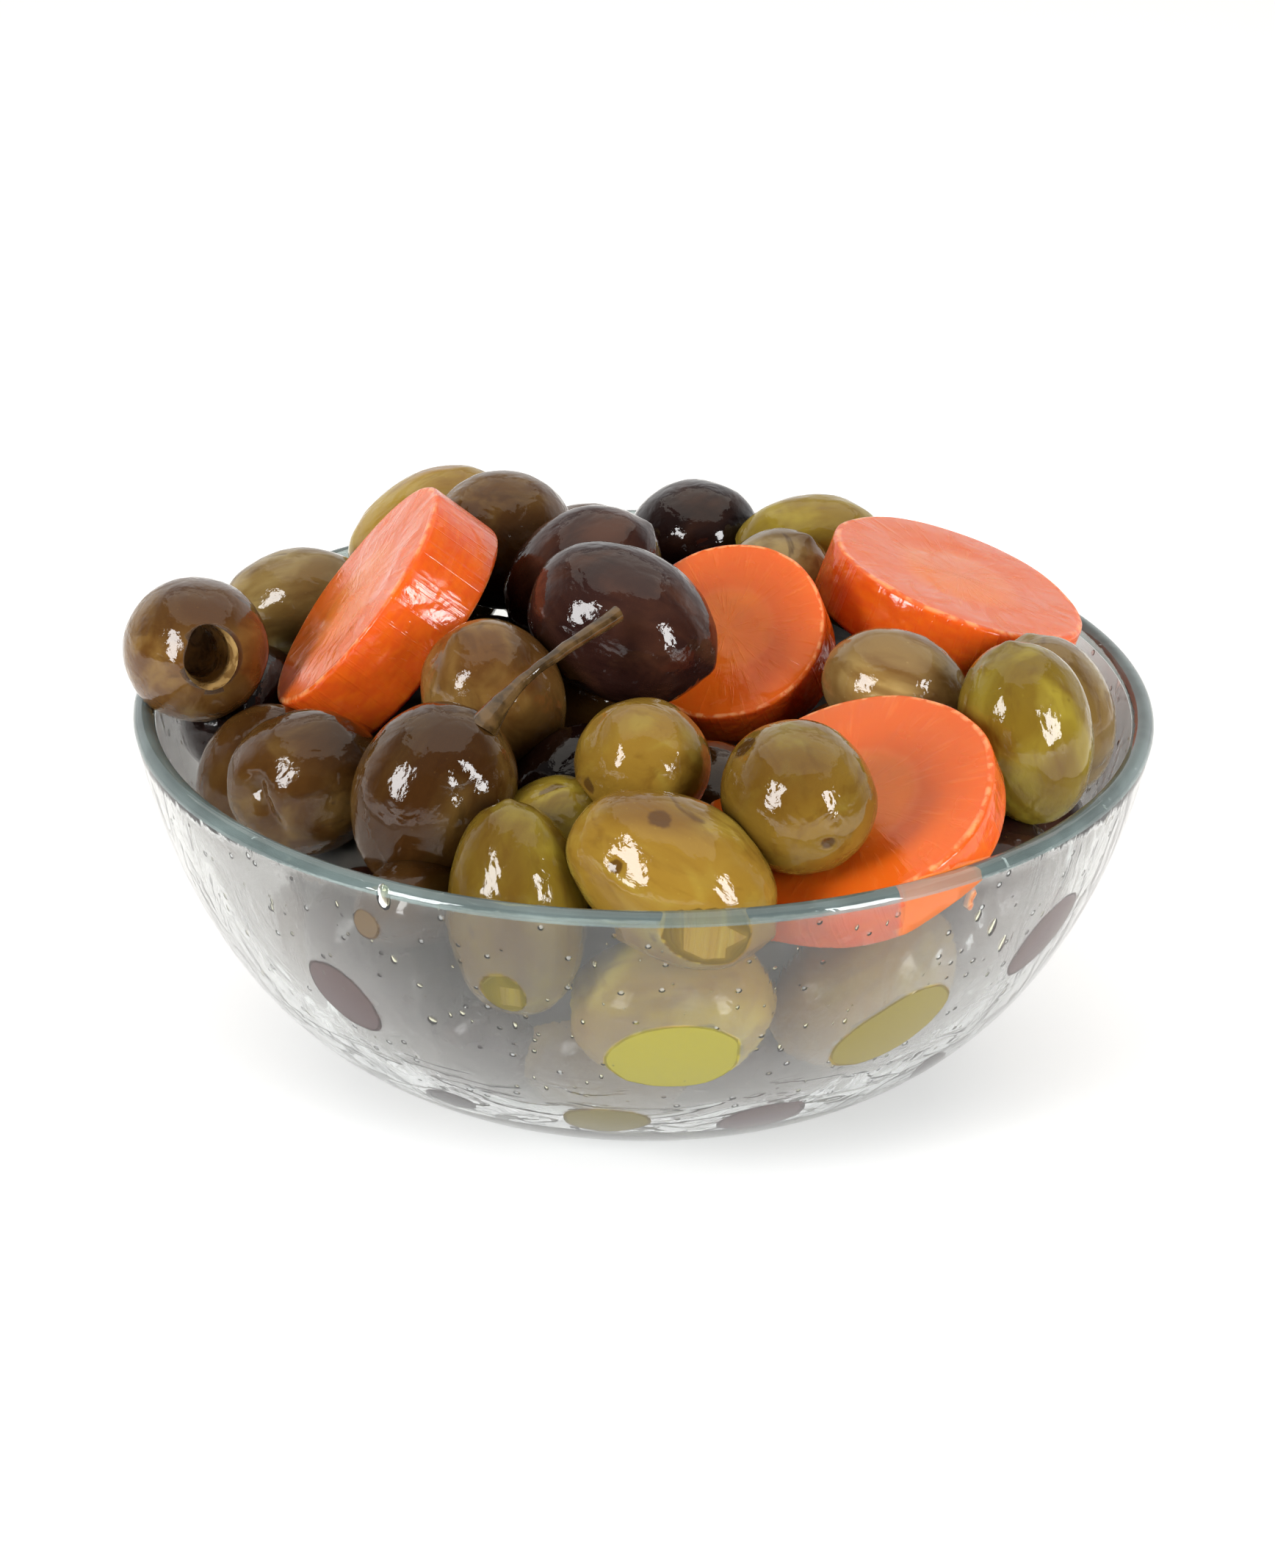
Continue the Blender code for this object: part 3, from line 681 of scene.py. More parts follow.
@dataclass(frozen=True)
class CarrotFinish(Finish):
    """Wet cut carrot: a paler core, fibres that run outwards, and a redder side."""

    name: str = "cut_carrot"
    core: Colour = (0.66, 0.145, 0.012)
    flesh: Colour = (0.62, 0.105, 0.007)
    fibre: Colour = (0.78, 0.22, 0.05)
    side: Colour = (0.58, 0.078, 0.008)
    edge: Colour = (0.88, 0.40, 0.17)

    def sockets(self, tree: Tree, effects: SharedEffects) -> Inputs:
        """Cut flesh, read from the slice's own cut coordinates, under a film of oil.

        Args:
            tree: The material's tree.
            effects: The shared node groups.

        Returns:
            Socket name to a value or to the output that feeds it.
        """
        place = tree.kept("cut", "Vector")
        side = tree.kept("side")
        parts = tree.split(place)
        flat = tree.node("ShaderNodeCombineXYZ", {0: parts["X"], 1: parts["Y"]}).outputs[0]
        reach = tree.vector_math("LENGTH", flat)["Value"]
        ragged = tree.plus(reach, tree.swing(tree.noise(place, 3.0), 0.12))
        ring = tree.times(tree.ramp(ragged, 0.42, 0.47), tree.ramp(ragged, 0.47, 0.54, 1.0, 0.0))
        spokes = tree.vector_math("NORMALIZE", flat)["Vector"]
        lifted = tree.vector_math("ADD", spokes, tree.stretch(flat, (0.25, 0.25, 0.0)))["Vector"]
        fibres = tree.ramp(tree.noise(lifted, 13.0, 4.0, 0.2), 0.52, 0.72)
        base = tree.blend(tree.ramp(ragged, 0.40, 0.50, 1.0, 0.0), self.flesh, self.core)
        base = tree.tinge(base, fibres, 0.22, self.fibre)
        base = tree.tinge(base, ring, 0.2, self.fibre)
        bands = tree.noise(tree.stretch(place, (2.0, 2.0, 6.0)), 3.0, 4.0)
        base = tree.blend(side, base, tree.blend(tree.ramp(bands, 0.35, 0.7), self.side, self.flesh))
        base = tree.tinge(base, tree.ramp(tree.noise(place, 1.6, 3.0), 0.4, 0.7), 0.3, self.side)
        corner = tree.times(tree.times(side, tree.minus(1.0, side)), 4.0)
        torn = tree.ramp(tree.noise(place, 9.0, 4.0, 0.5), 0.42, 0.6)
        base = tree.blend(tree.times(corner, tree.times(torn, 0.6)), base, self.edge)
        film = tree.group(
            effects.wet_film,
            {"Coordinates": place, "Ripple Scale": 3.0, "Wet Roughness": 0.1, "Dry Roughness": 0.32},
        )
        relief = tree.plus(film["Height"], tree.times(fibres, 0.12))
        relief = tree.times(relief, tree.plus(1.0, tree.times(side, 1.4)))
        return {
            "Base Color": base,
            "Roughness": film["Roughness"],
            "Normal": tree.bump(relief, 0.5, 0.0005),
            "IOR": 1.42,
            "Subsurface Weight": 0.45,
            "Subsurface Radius": (1.0, 0.3, 0.08),
            "Subsurface Scale": 0.006,
        }


@dataclass(frozen=True)
class GlassFinish(Finish):
    """Clear glass of the bowl's outside."""

    name: str = "clear_glass"
    tint: Colour = (0.76, 0.775, 0.765)
    passing = (0.96, 0.98, 0.98)

    def sockets(self, tree: Tree, effects: SharedEffects) -> Inputs:
        """Faintly rippled glass, a little dirty in places."""
        place = tree.place()
        ripple = tree.noise(tree.stretch(place, (1.0, 1.0, 0.5)), 55.0, 2.0)
        return {
            **clear(self.tint, 1.45),
            "Roughness": tree.ramp(tree.noise(place, 30.0, 5.0, 0.5), 0.5, 0.8, 0.0, 0.06),
            "Normal": tree.bump(ripple, 0.25, 0.0004),
        }


@dataclass(frozen=True)
class LipFinish(Finish):
    """Green-grey glass of the lip, where light gathers in the edge."""

    name: str = "lip_glass"
    tint: Colour = (0.36, 0.47, 0.46)
    passing = (0.9, 0.95, 0.95)

    def sockets(self, tree: Tree, effects: SharedEffects) -> Inputs:
        """Part clear glass, unevenly tinted."""
        uneven = tree.ramp(tree.noise(tree.stretch(tree.place(), (1.0, 1.0, 2.0)), 70.0, 3.0, 0.6), 0.3, 0.7)
        deeper = tuple(0.6 * part for part in self.tint)
        return {
            **clear(self.tint, 1.45),
            "Base Color": tree.blend(uneven, deeper, self.tint),
            "Transmission Weight": 0.65,
            "Roughness": 0.04,
            "Normal": tree.bump(uneven, 0.2, 0.0003),
        }


@dataclass(frozen=True)
class OiledGlassFinish(Finish):
    """Inner side of the glass, made uneven by runs and beads of oil."""

    name: str = "oiled_glass"
    tint: Colour = (0.88, 0.88, 0.87)
    level: float = OIL_LEVEL
    passing = (0.9, 0.92, 0.92)

    def sockets(self, tree: Tree, effects: SharedEffects) -> Inputs:
        """Glass that is rougher where the smears are."""
        smears = tree.group(effects.smears, {"Coordinates": tree.place(), "Level": self.level})
        return {
            **clear(self.tint, 1.45),
            "Roughness": tree.times(smears["Cloud"], 0.2),
            "Normal": tree.bump(smears["Height"], 0.5, 0.0005),
        }


@dataclass(frozen=True)
class OilyFilmFinish(Finish):
    """Greyish oil smeared thinly on the inside of the glass, with streaks and clearer places."""

    name: str = "oily_film"
    thin: Colour = (0.30, 0.275, 0.26)
    thick: Colour = (0.80, 0.80, 0.80)
    level: float = OIL_LEVEL

    def sockets(self, tree: Tree, effects: SharedEffects) -> Inputs:
        """Oil that is clear where nothing is smeared, and denser where the glass is seen at a slant."""
        smears = tree.group(effects.smears, {"Coordinates": tree.place(), "Level": self.level})
        slant = tree.node("ShaderNodeLayerWeight", {"Blend": 0.5}).outputs["Facing"]
        denser = tree.times(tree.ramp(slant, 0.30, 0.80), 0.36)
        return {
            "Base Color": tree.blend(tree.ramp(smears["Bright"], 0.04, 0.2), self.thin, self.thick),
            "Alpha": tree.plus(smears["Cloud"], denser, True),
            "Roughness": tree.ramp(smears["Cloud"], 0.1, 0.5, 0.3, 0.6),
            "IOR": 1.4,
        }


@dataclass(frozen=True)
class PlainFinish(Finish):
    """One mottled colour, wet or dull, for the painted-shade core, the stalk, the crumb and the bored hole.
    """

    low: Colour
    high: Colour
    roughness: float
    grain: float

    def sockets(self, tree: Tree, effects: SharedEffects) -> Inputs:
        """A fine grain in colour, roughness and height."""
        grain = tree.noise(tree.place(), self.grain, 4.0, 0.4)
        return {
            "Base Color": tree.blend(tree.ramp(grain, 0.35, 0.65), self.low, self.high),
            "Roughness": tree.ramp(grain, 0.3, 0.7, self.roughness * 0.7, self.roughness * 1.3),
            "Normal": tree.bump(grain, 0.3, 0.0003),
        }


OLIVE_FLESH = PlainFinish("olive_flesh", (0.16, 0.085, 0.025), (0.42, 0.27, 0.10), 0.3, 420.0)
OLIVE_STALK = PlainFinish("olive_stalk", (0.030, 0.016, 0.005), (0.10, 0.056, 0.02), 0.09, 420.0)
# Painted shade: a near-black body under the olives, so that the gaps between them look dark.
SHADE_CORE_FINISH = PlainFinish("painted_shade_core", (0.004, 0.003, 0.002), (0.012, 0.008, 0.004), 0.6, 160.0)
CARROT_CRUMB = PlainFinish("carrot_crumb", (0.50, 0.12, 0.02), (0.70, 0.32, 0.10), 0.3, 900.0)


@dataclass(frozen=True)
class OilFinish(Finish):
    """Clear yellowish oil, as a pool or as drops."""

    name: str = "olive_oil"
    tint: Colour = (0.93, 0.90, 0.68)
    passing = (0.95, 0.94, 0.85)

    def sockets(self, tree: Tree, effects: SharedEffects) -> Inputs:
        """Smooth oil with a faint swirl."""
        swirl = tree.ramp(tree.noise(tree.place(), 90.0, 3.0), 0.3, 0.7, 0.0, 0.05)
        return {**clear(self.tint, 1.4), "Roughness": swirl}


@dataclass(frozen=True)
class FloorFinish(Finish):
    """Matt white that glows a little, as the ground in the photo does."""

    name: str = "pale_floor"

    def sockets(self, tree: Tree, effects: SharedEffects) -> Inputs:
        """Plain values only."""
        return {
            "Base Color": (0.9, 0.9, 0.9),
            "Roughness": 0.8,
            "Emission Color": WHITE,
            "Emission Strength": 0.24,
        }


def clear(tint: Colour, ior: float) -> Inputs:
    """The sockets of a clear material, with its tint and index of refraction."""
    return {"Base Color": tint, "IOR": ior, "Transmission Weight": 1.0, "Metallic": 0.0}


@dataclass(frozen=True)
class BowlShape:
    """The bowl's driving sizes, and the curves worked out from them."""

    rim_radius: float = 70 * MM
    height: float = 53 * MM
    wall: float = 3 * MM
    floor: float = 4 * MM
    foot_radius: float = 21 * MM
    fullness: float = 3.8
    lean: float = 1.38
    floor_corner: float = 2.2
    least_rise: float = 0.4 * MM

    @property
    def lip_height(self) -> float:
        """Height of the lip's middle."""
        return self.height - self.wall / 2

    def outer_radius(self, height: float) -> float:
        """Outer radius at a height."""
        rise = min(max(height / self.height, 0.0), 1.0)
        return self.rim_radius * (1.0 - (1.0 - rise) ** self.lean) ** (1.0 / self.fullness)

    def outward(self, height: float) -> Vector:
        """Outward direction of the wall at a height, as radial and upward parts."""
        step = 0.05 * MM
        lean = (self.outer_radius(height + step) - self.outer_radius(height - step)) / (2 * step)
        return Vector((1.0, -lean)).normalized()

    def wall_point(self, height: float, inset: float) -> tuple[float, float]:
        """Radius and height of the point that lies inset inside the outer wall."""
        way = self.outward(height)
        return (self.outer_radius(height) - inset * way.x, height - inset * way.y)

    def inner_side(self, inset: float, steps: int) -> list[tuple[float, float]]:
        """Outline of the inside, from the middle of the floor up to the lip.

        Args:
            inset: How far inside the outer wall it runs.
            steps: How many stretches the side has.

        Returns:
            Points of radius and height.
        """
        floor = self.floor + inset - self.wall
        side = []
        for step in range(1, steps + 1):
            radius, height = self.wall_point(self.lip_height * (step / steps) ** 1.25, inset)
            if height > floor + self.least_rise:
                side.append((radius, height))
        side[-1] = (self.rim_radius - inset, self.lip_height)
        first_radius, first_height = side[0]
        return [(0.0, floor), (first_radius - self.floor_corner * (first_height - floor), floor), *side]

    def lip_arc(self, radius: float, start: float, end: float, steps: int) -> list[tuple[float, float]]:
        """Points of an arc round the lip's middle, between two angles in degrees."""
        points = []
        for step in range(1, steps + 1):
            angle = math.radians(start + (end - start) * step / steps)
            across = self.rim_radius - self.wall / 2 + radius * math.cos(angle)
            points.append((across, self.lip_height + radius * math.sin(angle)))
        return points

    @property
    def room_inset(self) -> float:
        """How far inside the outer wall the olives reach, a little into the glass so that they meet it."""
        return self.wall - 0.15 * MM

    def pressed_place(
        self, bearing: float, height: float, climb: float, half_width: float, press: float
    ) -> tuple[Vector, Vector]:
        """Centre and long axis of an olive that touches the glass.

        Args:
            bearing: Bearing of the touching point, in degrees from +X.
            height: Height at which the wall's outside is passed there.
            climb: How far the long axis climbs from level, in degrees.
            half_width: Half the olive's width.
            press: How far the glass flattens it.

        Returns:
            The centre and the axis.
        """
        radial = level_way(bearing)
        way = self.outward(height)
        radius, level = self.wall_point(height, self.wall + half_width - press)
        slope = math.radians(climb)
        sideways = Vector((-radial.y, radial.x, 0.0))
        axis = sideways * math.cos(slope) + (radial * -way.y + UP * way.x) * math.sin(slope)
        return radial * radius + UP * level, axis


@dataclass
class GlassBowl:
    """The bowl: foot, round wall, lip and clouded inside."""

    shape: BowlShape
    side_steps: int = 44
    lip_steps: int = 12
    segments: int = 192

    def build(self) -> Object:
        """Turns the bowl from its outline."""
        shape = self.shape
        outline = [(0.0, 0.0), (shape.foot_radius, 0.0)]
        for step in range(2, self.side_steps):
            rise = shape.lip_height * (step / self.side_steps) ** 1.6
            radius = shape.outer_radius(rise)
            if radius > shape.foot_radius + 0.3 * MM:
                outline.append((radius, rise))
        outline.append((shape.rim_radius, shape.lip_height))
        outline += shape.lip_arc(shape.wall / 2, 0.0, 180.0, self.lip_steps)
        outline += list(reversed(shape.inner_side(shape.wall, self.side_steps)))[1:]
        return new_object("glass_bowl", turned(outline, self.segments), 50.0)

    def dress(self, bowl: Object, finishes: tuple[Material, ...]) -> None:
        """Gives the outside, the inside and the lip their finishes.

        Args:
            bowl: The turned bowl.
            finishes: Finishes of the outside, the inside and the lip, in that order.
        """
        outside, inside, rim = range(len(finishes))
        for finish in finishes:
            bowl.data.materials.append(finish)
        lip = self.shape.lip_height - 0.2 * MM
        for face in bowl.data.polygons:
            radius = math.hypot(face.center.x, face.center.y)
            inward = face.normal.x * face.center.x + face.normal.y * face.center.y < 0.0
            on_floor = face.normal.z > 0.9 and radius < self.shape.rim_radius * 0.7
            if face.center.z > lip:
                face.material_index = rim
            else:
                face.material_index = inside if inward or on_floor else outside


@dataclass
class Oil:
    """What the olives leave on and in the bowl: a film, a pool at the bottom, and beads."""

    shape: BowlShape
    film_inset: tuple[float, float] = (0.05 * MM, 0.10 * MM)
    pool_height: float = 12.5 * MM
    bead_count: int = 300
    bead_depth: float = 0.55
    seed: int = 5

    def build_film(self) -> Object:
        """Turns the thin film that lies on the inside of the wall."""
        outside, inside = (self.shape.inner_side(self.shape.wall + inset, 40) for inset in self.film_inset)
        return new_object("oily_film", turned(outside + list(reversed(inside)), 160))

    def build_pool(self) -> Object:
        """Turns the pool of oil, which reaches just into the wall."""
        side = self.shape.inner_side(self.shape.wall - 0.1 * MM, 60)
        outline = [point for point in side if point[1] < self.pool_height]
        outline += [(outline[-1][0], self.pool_height), (0.0, self.pool_height)]
        return new_object("oil_pool", turned(outline, 128))

    def build_beads(self) -> Object:
        """Sets small beads on the inside of the wall, and larger ones at listed places."""
        builder = bmesh.new()
        draw = random.Random(self.seed)
        for _ in range(self.bead_count):
            bearing = draw.uniform(0.0, 360.0)
            height = draw.uniform(18.0, 50.0) * MM
            size = draw.uniform(0.12, 0.36) * MM
            self._bead(builder, bearing, height, size, draw.uniform(1.0, 2.4), self.shape.wall)
        for bearing, height, size, run, inset in PLACED_BEADS:
            self._bead(builder, bearing, height * MM, size * MM, run, inset * MM)
        return new_object("oil_beads", builder)

    def build_crumb(self) -> Object:
        """Sticks one crumb of carrot to the inside of the glass."""
        builder = bmesh.new()
        self._bead(builder, -51.6, 47.0 * MM, 0.75 * MM, 2.4, self.shape.wall + 0.35 * MM)
        for point in builder.verts:
            point.co += Vector((1.0, 0.0, 0.4)) * 0.5 * MM * noise.noise(point.co * 900.0)
        return new_object("carrot_crumb", builder)

    def _bead(
        self, builder: BMesh, bearing: float, height: float, size: float, run: float, inset: float
    ) -> None:
        """Adds one bead, flattened against the glass and drawn out downwards.

        Args:
            builder: Where it goes.
            bearing: Bearing of the bead, in degrees.
            height: Height at which the wall's outside is passed there.
            size: Its radius.
            run: How many times as long as wide it is.
            inset: How far its middle lies inside the outer wall.
        """
        radial = level_way(bearing)
        way = self.shape.outward(height)
        radius, level = self.shape.wall_point(height, inset)
        centre = radial * radius + UP * level
        outward = radial * way.x + UP * way.y
        down = radial * way.y - UP * way.x
        turn = Matrix((outward.cross(down), down, outward)).transposed().to_4x4()
        shape = Matrix.Diagonal((size, size * run, size * self.bead_depth, 1.0))
        bmesh.ops.create_icosphere(
            builder, subdivisions=2, radius=1.0, matrix=Matrix.Translation(centre) @ turn @ shape
        )


@dataclass(frozen=True)
class OlivePlace:
    """One olive: its kind, place and size, in metres."""

    name: str
    kind: OliveKind
    centre: Vector
    axis: Vector
    half_length: float
    half_width: float


@dataclass
class OliveHeap:
    """The olives, one by one, over a near-black core that is painted shade for the gaps between them."""

    shape: BowlShape
    around: int = 56
    along: int = 34
    finer: int = 2
    lump: float = 0.035
    fine_lump: float = 0.008
    tip_reach: float = 0.13
    base_reach: float = 0.17
    base_dent: float = 0.9 * MM
    usual_half_width: float = 9.5 * MM
    flat_within: float = 0.08 * MM
    # Painted light on the flat places of olives that have no value of their own.
    dull_painted_glow: float = 0.08
    kinds_in_rows: tuple[str, ...] = ("khaki", "black", "brown", "green", "black", "brown", "leaf")
    pit_radius: float = 4.0 * MM
    pit_depth: float = 13.0 * MM
    pit_end: float = 0.66
    pit_spread: tuple[float, float] = (0.98, 1.22)
    places: list[OlivePlace] = field(default_factory=list)

    def __post_init__(self) -> None:
        """Works out where every olive lies."""
        self.places = self._places()

    def _places(self) -> list[OlivePlace]:
        """Places every olive: the listed ones, those pressed to the glass, then rows and rings."""
        places = []
        for name, kind, centre, axis, *halves in PLACED_OLIVES:
            halves = (half * MM for half in halves)
            places.append(OlivePlace(name, kind, Vector(centre) * MM, Vector(axis), *halves))
        for name, kind, bearing, height, climb, half_length, half_width, press in PRESSED_OLIVES:
            centre, axis = self.shape.pressed_place(bearing, height * MM, climb, half_width * MM, press * MM)
            places.append(OlivePlace(name, kind, centre, axis, half_length * MM, half_width * MM))
        draw = random.Random(ROW_SEED)
        for row, (height, count, empty) in enumerate(WALL_ROWS):
            for step in range(count):
                bearing = (step + draw.uniform(-0.15, 0.15)) * 360 / count
                half_length = draw.uniform(*ROW_HALF_LENGTH)
                half_width = draw.uniform(*ROW_HALF_WIDTH)
                climb = draw.uniform(-60, 60)
                level = height + draw.uniform(-2, 2) * MM
                centre, axis = self.shape.pressed_place(bearing, level, climb, half_width, ROW_PRESS)
                if not within(bearing, empty) and is_free(centre, half_width, places):
                    kind = OliveKind(self.kinds_in_rows[(row * 3 + step) % len(self.kinds_in_rows)])
                    if within(bearing, DARK_BEARINGS):
                        kind = OliveKind.BLACK
                    name = f"row_{row}_{step}"
                    places.append(OlivePlace(name, kind, centre, axis, half_length, half_width))
        for ring, (radius, height, count) in enumerate(FILL_RINGS):
            for step in range(count):
                around = (step + draw.uniform(-0.2, 0.2)) * math.tau / count
                half_length = draw.uniform(*ROW_HALF_LENGTH)
                half_width = draw.uniform(*ROW_HALF_WIDTH)
                way = draw.uniform(0.0, math.tau)
                axis = Vector((math.cos(way), math.sin(way), draw.uniform(-0.4, 0.4))).normalized()
                centre = Vector((radius * math.cos(around), radius * math.sin(around), height))
                if is_free(centre, half_width, places):
                    kind = OliveKind.BLACK if step % 2 else OliveKind.BROWN
                    name = f"fill_{ring}_{step}"
                    places.append(OlivePlace(name, kind, centre, axis, half_length, half_width))
        return places

    def build_room(self) -> Object:
        """The space the olives may fill: up to just inside the glass, and all that is above the rim."""
        shape = self.shape
        gap = 0.05 * MM
        outline = shape.inner_side(shape.room_inset, 40)
        outline += shape.lip_arc(shape.wall / 2 + gap, 180.0, 90.0, 6)
        wide = shape.rim_radius + 30 * MM
        top = shape.height + 60 * MM
        outline += [(wide, shape.height + gap), (wide, top), (0.0, top)]
        return new_object("room", turned(outline, 160))

    def _olive(self, place: OlivePlace, number: int) -> BMesh:
        """Shapes one olive.

        Args:
            place: Where and how large it is.
            number: Its number, which sets its own lumps and tone.

        Returns:
            The olive in the bowl's frame, with its skin coordinates and tone kept on its points.
        """
        builder = bmesh.new()
        marks = [(*mark[1:], True) for mark in MARKS if mark[0] == place.name]
        marks += [(*dent[1:], False) for dent in DENTS if dent[0] == place.name]
        finer = self.finer if marks else 1
        steps = {"u_segments": self.around * finer, "v_segments": self.along * finer}
        bmesh.ops.create_uvsphere(builder, radius=1.0, **steps)
        add_olive_layers(builder)
        skin = builder.verts.layers.float_vector["skin"]
        tone = builder.verts.layers.float["tone"]
        marked = builder.verts.layers.float["mark"]
        turn = aim(Vector(), place.axis).to_3x3()
        draw = random.Random(100 + number)
        offset = Vector((draw.uniform(0, 40), draw.uniform(0, 40), draw.uniform(0, 40)))
        own_tone = TONES_AND_SHADE.get(place.name, draw.uniform(0.3, 0.7))
        taper = draw.uniform(-0.07, 0.07)
        nipple = draw.uniform(0.2, 0.6) * MM
        for point in builder.verts:
            unit = point.co.copy()
            along = unit.z
            off_axis = math.hypot(unit.x, unit.y)
            lump = 1.0 + self.lump * noise.noise(unit * 1.4 + offset)
            lump += self.fine_lump * noise.noise(unit * 4.5 + offset)
            wide = place.half_width * (1.0 + taper * along) * lump
            high = place.half_length * lump
            shaped = Vector((unit.x * wide, unit.y * wide, along * high))
            if along > 0.0:
                shaped.z += nipple * bell(off_axis, self.tip_reach)
            else:
                shaped.z += self.base_dent * bell(off_axis, self.base_reach)
            for way, reach, depth, stained in marks:
                off = ((turn @ shaped).normalized() - Vector(way).normalized()).length * shaped.length
                near = bell(off, reach * MM)
                shaped -= shaped.normalized() * near * depth * MM
                if stained and depth > 0.0:
                    point[marked] = max(point[marked], near)
            point.co = shaped
            point[skin] = unit * (place.half_width / self.usual_half_width) + offset
            point[tone] = own_tone
        bmesh.ops.transform(builder, matrix=aim(place.centre, place.axis), verts=builder.verts)
        return builder

    def _bore(self, olive: Object, place: OlivePlace) -> None:
        """Bores the hole that the stone was pushed out of.

        Args:
            olive: The pitted olive.
            place: Where it lies.
        """
        builder = bmesh.new()
        radii = {"radius1": self.pit_radius * self.pit_end, "radius2": self.pit_radius}
        depth = self.pit_depth + 2 * MM
        bmesh.ops.create_cone(builder, cap_ends=True, segments=40, depth=depth, **radii)
        rings = [edge for edge in builder.edges if abs(edge.verts[0].co.z - edge.verts[1].co.z) > 1 * MM]
        bmesh.ops.subdivide_edges(builder, edges=rings, cuts=8, use_grid_fill=True)
        for point in builder.verts:
            wobble = 1.0 + 0.16 * noise.noise(point.co * 260.0)
            point.co.x *= wobble * self.pit_spread[0]
            point.co.y *= wobble * self.pit_spread[1]
        middle = place.centre + place.axis * (place.half_length - self.pit_depth / 2 + 1 * MM)
        bmesh.ops.transform(builder, matrix=aim(middle, place.axis), verts=builder.verts)
        tool = new_object("pit_tool", builder)
        cut_with(olive, tool, "DIFFERENCE")
        remove(tool)
        attributes = olive.data.attributes
        if "material_index" not in attributes:
            attributes.new("material_index", "INT", "FACE")
        for face, slot in zip(olive.data.polygons, attributes["material_index"].data):
            slot.value = int(face.normal.dot(face.center - place.centre) < 0.0)

    def build(self) -> dict[OliveKind, Object]:
        """Makes the olives and joins each kind into one piece.

        Returns:
            One object for each kind.
        """
        room = self.build_room()
        joined = {kind: bmesh.new() for kind in OliveKind}
        for builder in joined.values():
            add_olive_layers(builder)
        for number, place in enumerate(self.places):
            olive = new_object(place.name, self._olive(place, number))
            if self._near_glass(olive):
                cut_with(olive, room, "INTERSECT")
                # Painted light on the flat place where the olive meets the glass.
                self._mark_pressed(olive, PRESSED_PAINTED_LIGHT.get(place.name, self.dull_painted_glow))
            if place.name == "pitted":
                self._bore(olive, place)
            joined[place.kind].from_mesh(olive.data)
            remove(olive)
        remove(room)
        return {kind: new_object(f"{kind.value}_olives", builder, 20.0) for kind, builder in joined.items()}

    def _near_glass(self, olive: Object) -> bool:
        """Whether any point of an olive reaches the glass."""
        for point in olive.data.vertices:
            height = point.co.z
            if height < self.shape.height + 0.1 * MM:
                near = self.shape.outer_radius(height) - 1.5 * self.shape.room_inset
                if math.hypot(point.co.x, point.co.y) > near:
                    return True
        return False

    def _mark_pressed(self, olive: Object, glow: float) -> None:
        """Marks the points that lie flat on the glass.

        Args:
            olive: An olive that the room has cut.
            glow: How strongly the painted light shows there.
        """
        marks = olive.data.attributes["pressed"].data
        for point, mark in zip(olive.data.vertices, marks):
            if point.co.z < self.shape.lip_height:
                radius = math.hypot(point.co.x, point.co.y)
                mark.value = glow if self._inside_wall(radius, point.co.z) < self.flat_within else 0.0

    def _inside_wall(self, radius: float, height: float) -> float:
        """How far a point lies inside the room's own wall, measured square to the wall.

        Args:
            radius: The point's radius.
            height: Its height.

        Returns:
            The distance, negative outside the room.
        """
        inset = self.shape.room_inset
        level = height
        for _ in range(6):
            level = min(max(height + inset * self.shape.outward(level).y, 1 * MM), self.shape.lip_height)
        wall_radius, wall_height = self.shape.wall_point(level, inset)
        way = self.shape.outward(level)
        return (wall_radius - radius) * way.x + (wall_height - height) * way.y

    def build_core(self) -> Object:
        """Turns the near-black core that fills the bowl under the olives, painted shade seen in the gaps
        between them.
        """
        outline = [(radius * MM, height * MM) for radius, height in CORE_OUTLINE]
        builder = turned(outline, 64)
        for point in builder.verts:
            point.co += point.co.normalized() * 1.5 * MM * noise.noise(point.co * 120.0)
        return new_object("painted_shade_body", builder, 60.0)


def add_olive_layers(builder: BMesh) -> None:
    """Adds the layers that an olive keeps on its points: skin coordinates, tone, mark and flat place."""
    builder.verts.layers.float_vector.new("skin")
    for name in ("tone", "mark", "pressed"):
        builder.verts.layers.float.new(name)


def bell(distance: float, reach: float) -> float:
    """A smooth hump that is 1 at no distance and fades past its reach."""
    return math.exp(-((distance / reach) ** 2))


def within(bearing: float, span: tuple[float, float]) -> bool:
    """Whether a bearing lies in a span of bearings, in degrees."""
    return (bearing - span[0]) % 360 < (span[1] - span[0]) % 360


def is_free(centre: Vector, half_width: float, places: list[OlivePlace]) -> bool:
    """Whether an olive here would barely touch its neighbours.

    Args:
        centre: The olive's middle.
        half_width: Half its width.
        places: The olives placed so far.

    Returns:
        True if both the olives so far and the carrot slices leave room.
    """
    for other in places:
        reach = half_width + (other.half_length + other.half_width) / 2.0
        if (centre - other.centre).length < ROW_CLEARANCE * reach:
            return False
    for carrot in CARROT_SLICES:
        offset = centre - Vector(carrot.centre) * MM
        along = offset.dot(Vector(carrot.axis).normalized())
        across = math.sqrt(max(offset.length_squared - along * along, 0.0))
        off_face = max(abs(along) - carrot.thickness * MM / 2.0, 0.0)
        off_side = max(across - carrot.radius * MM, 0.0)
        if math.hypot(off_face, off_side) < SLICE_CLEARANCE * half_width:
            return False
    return True


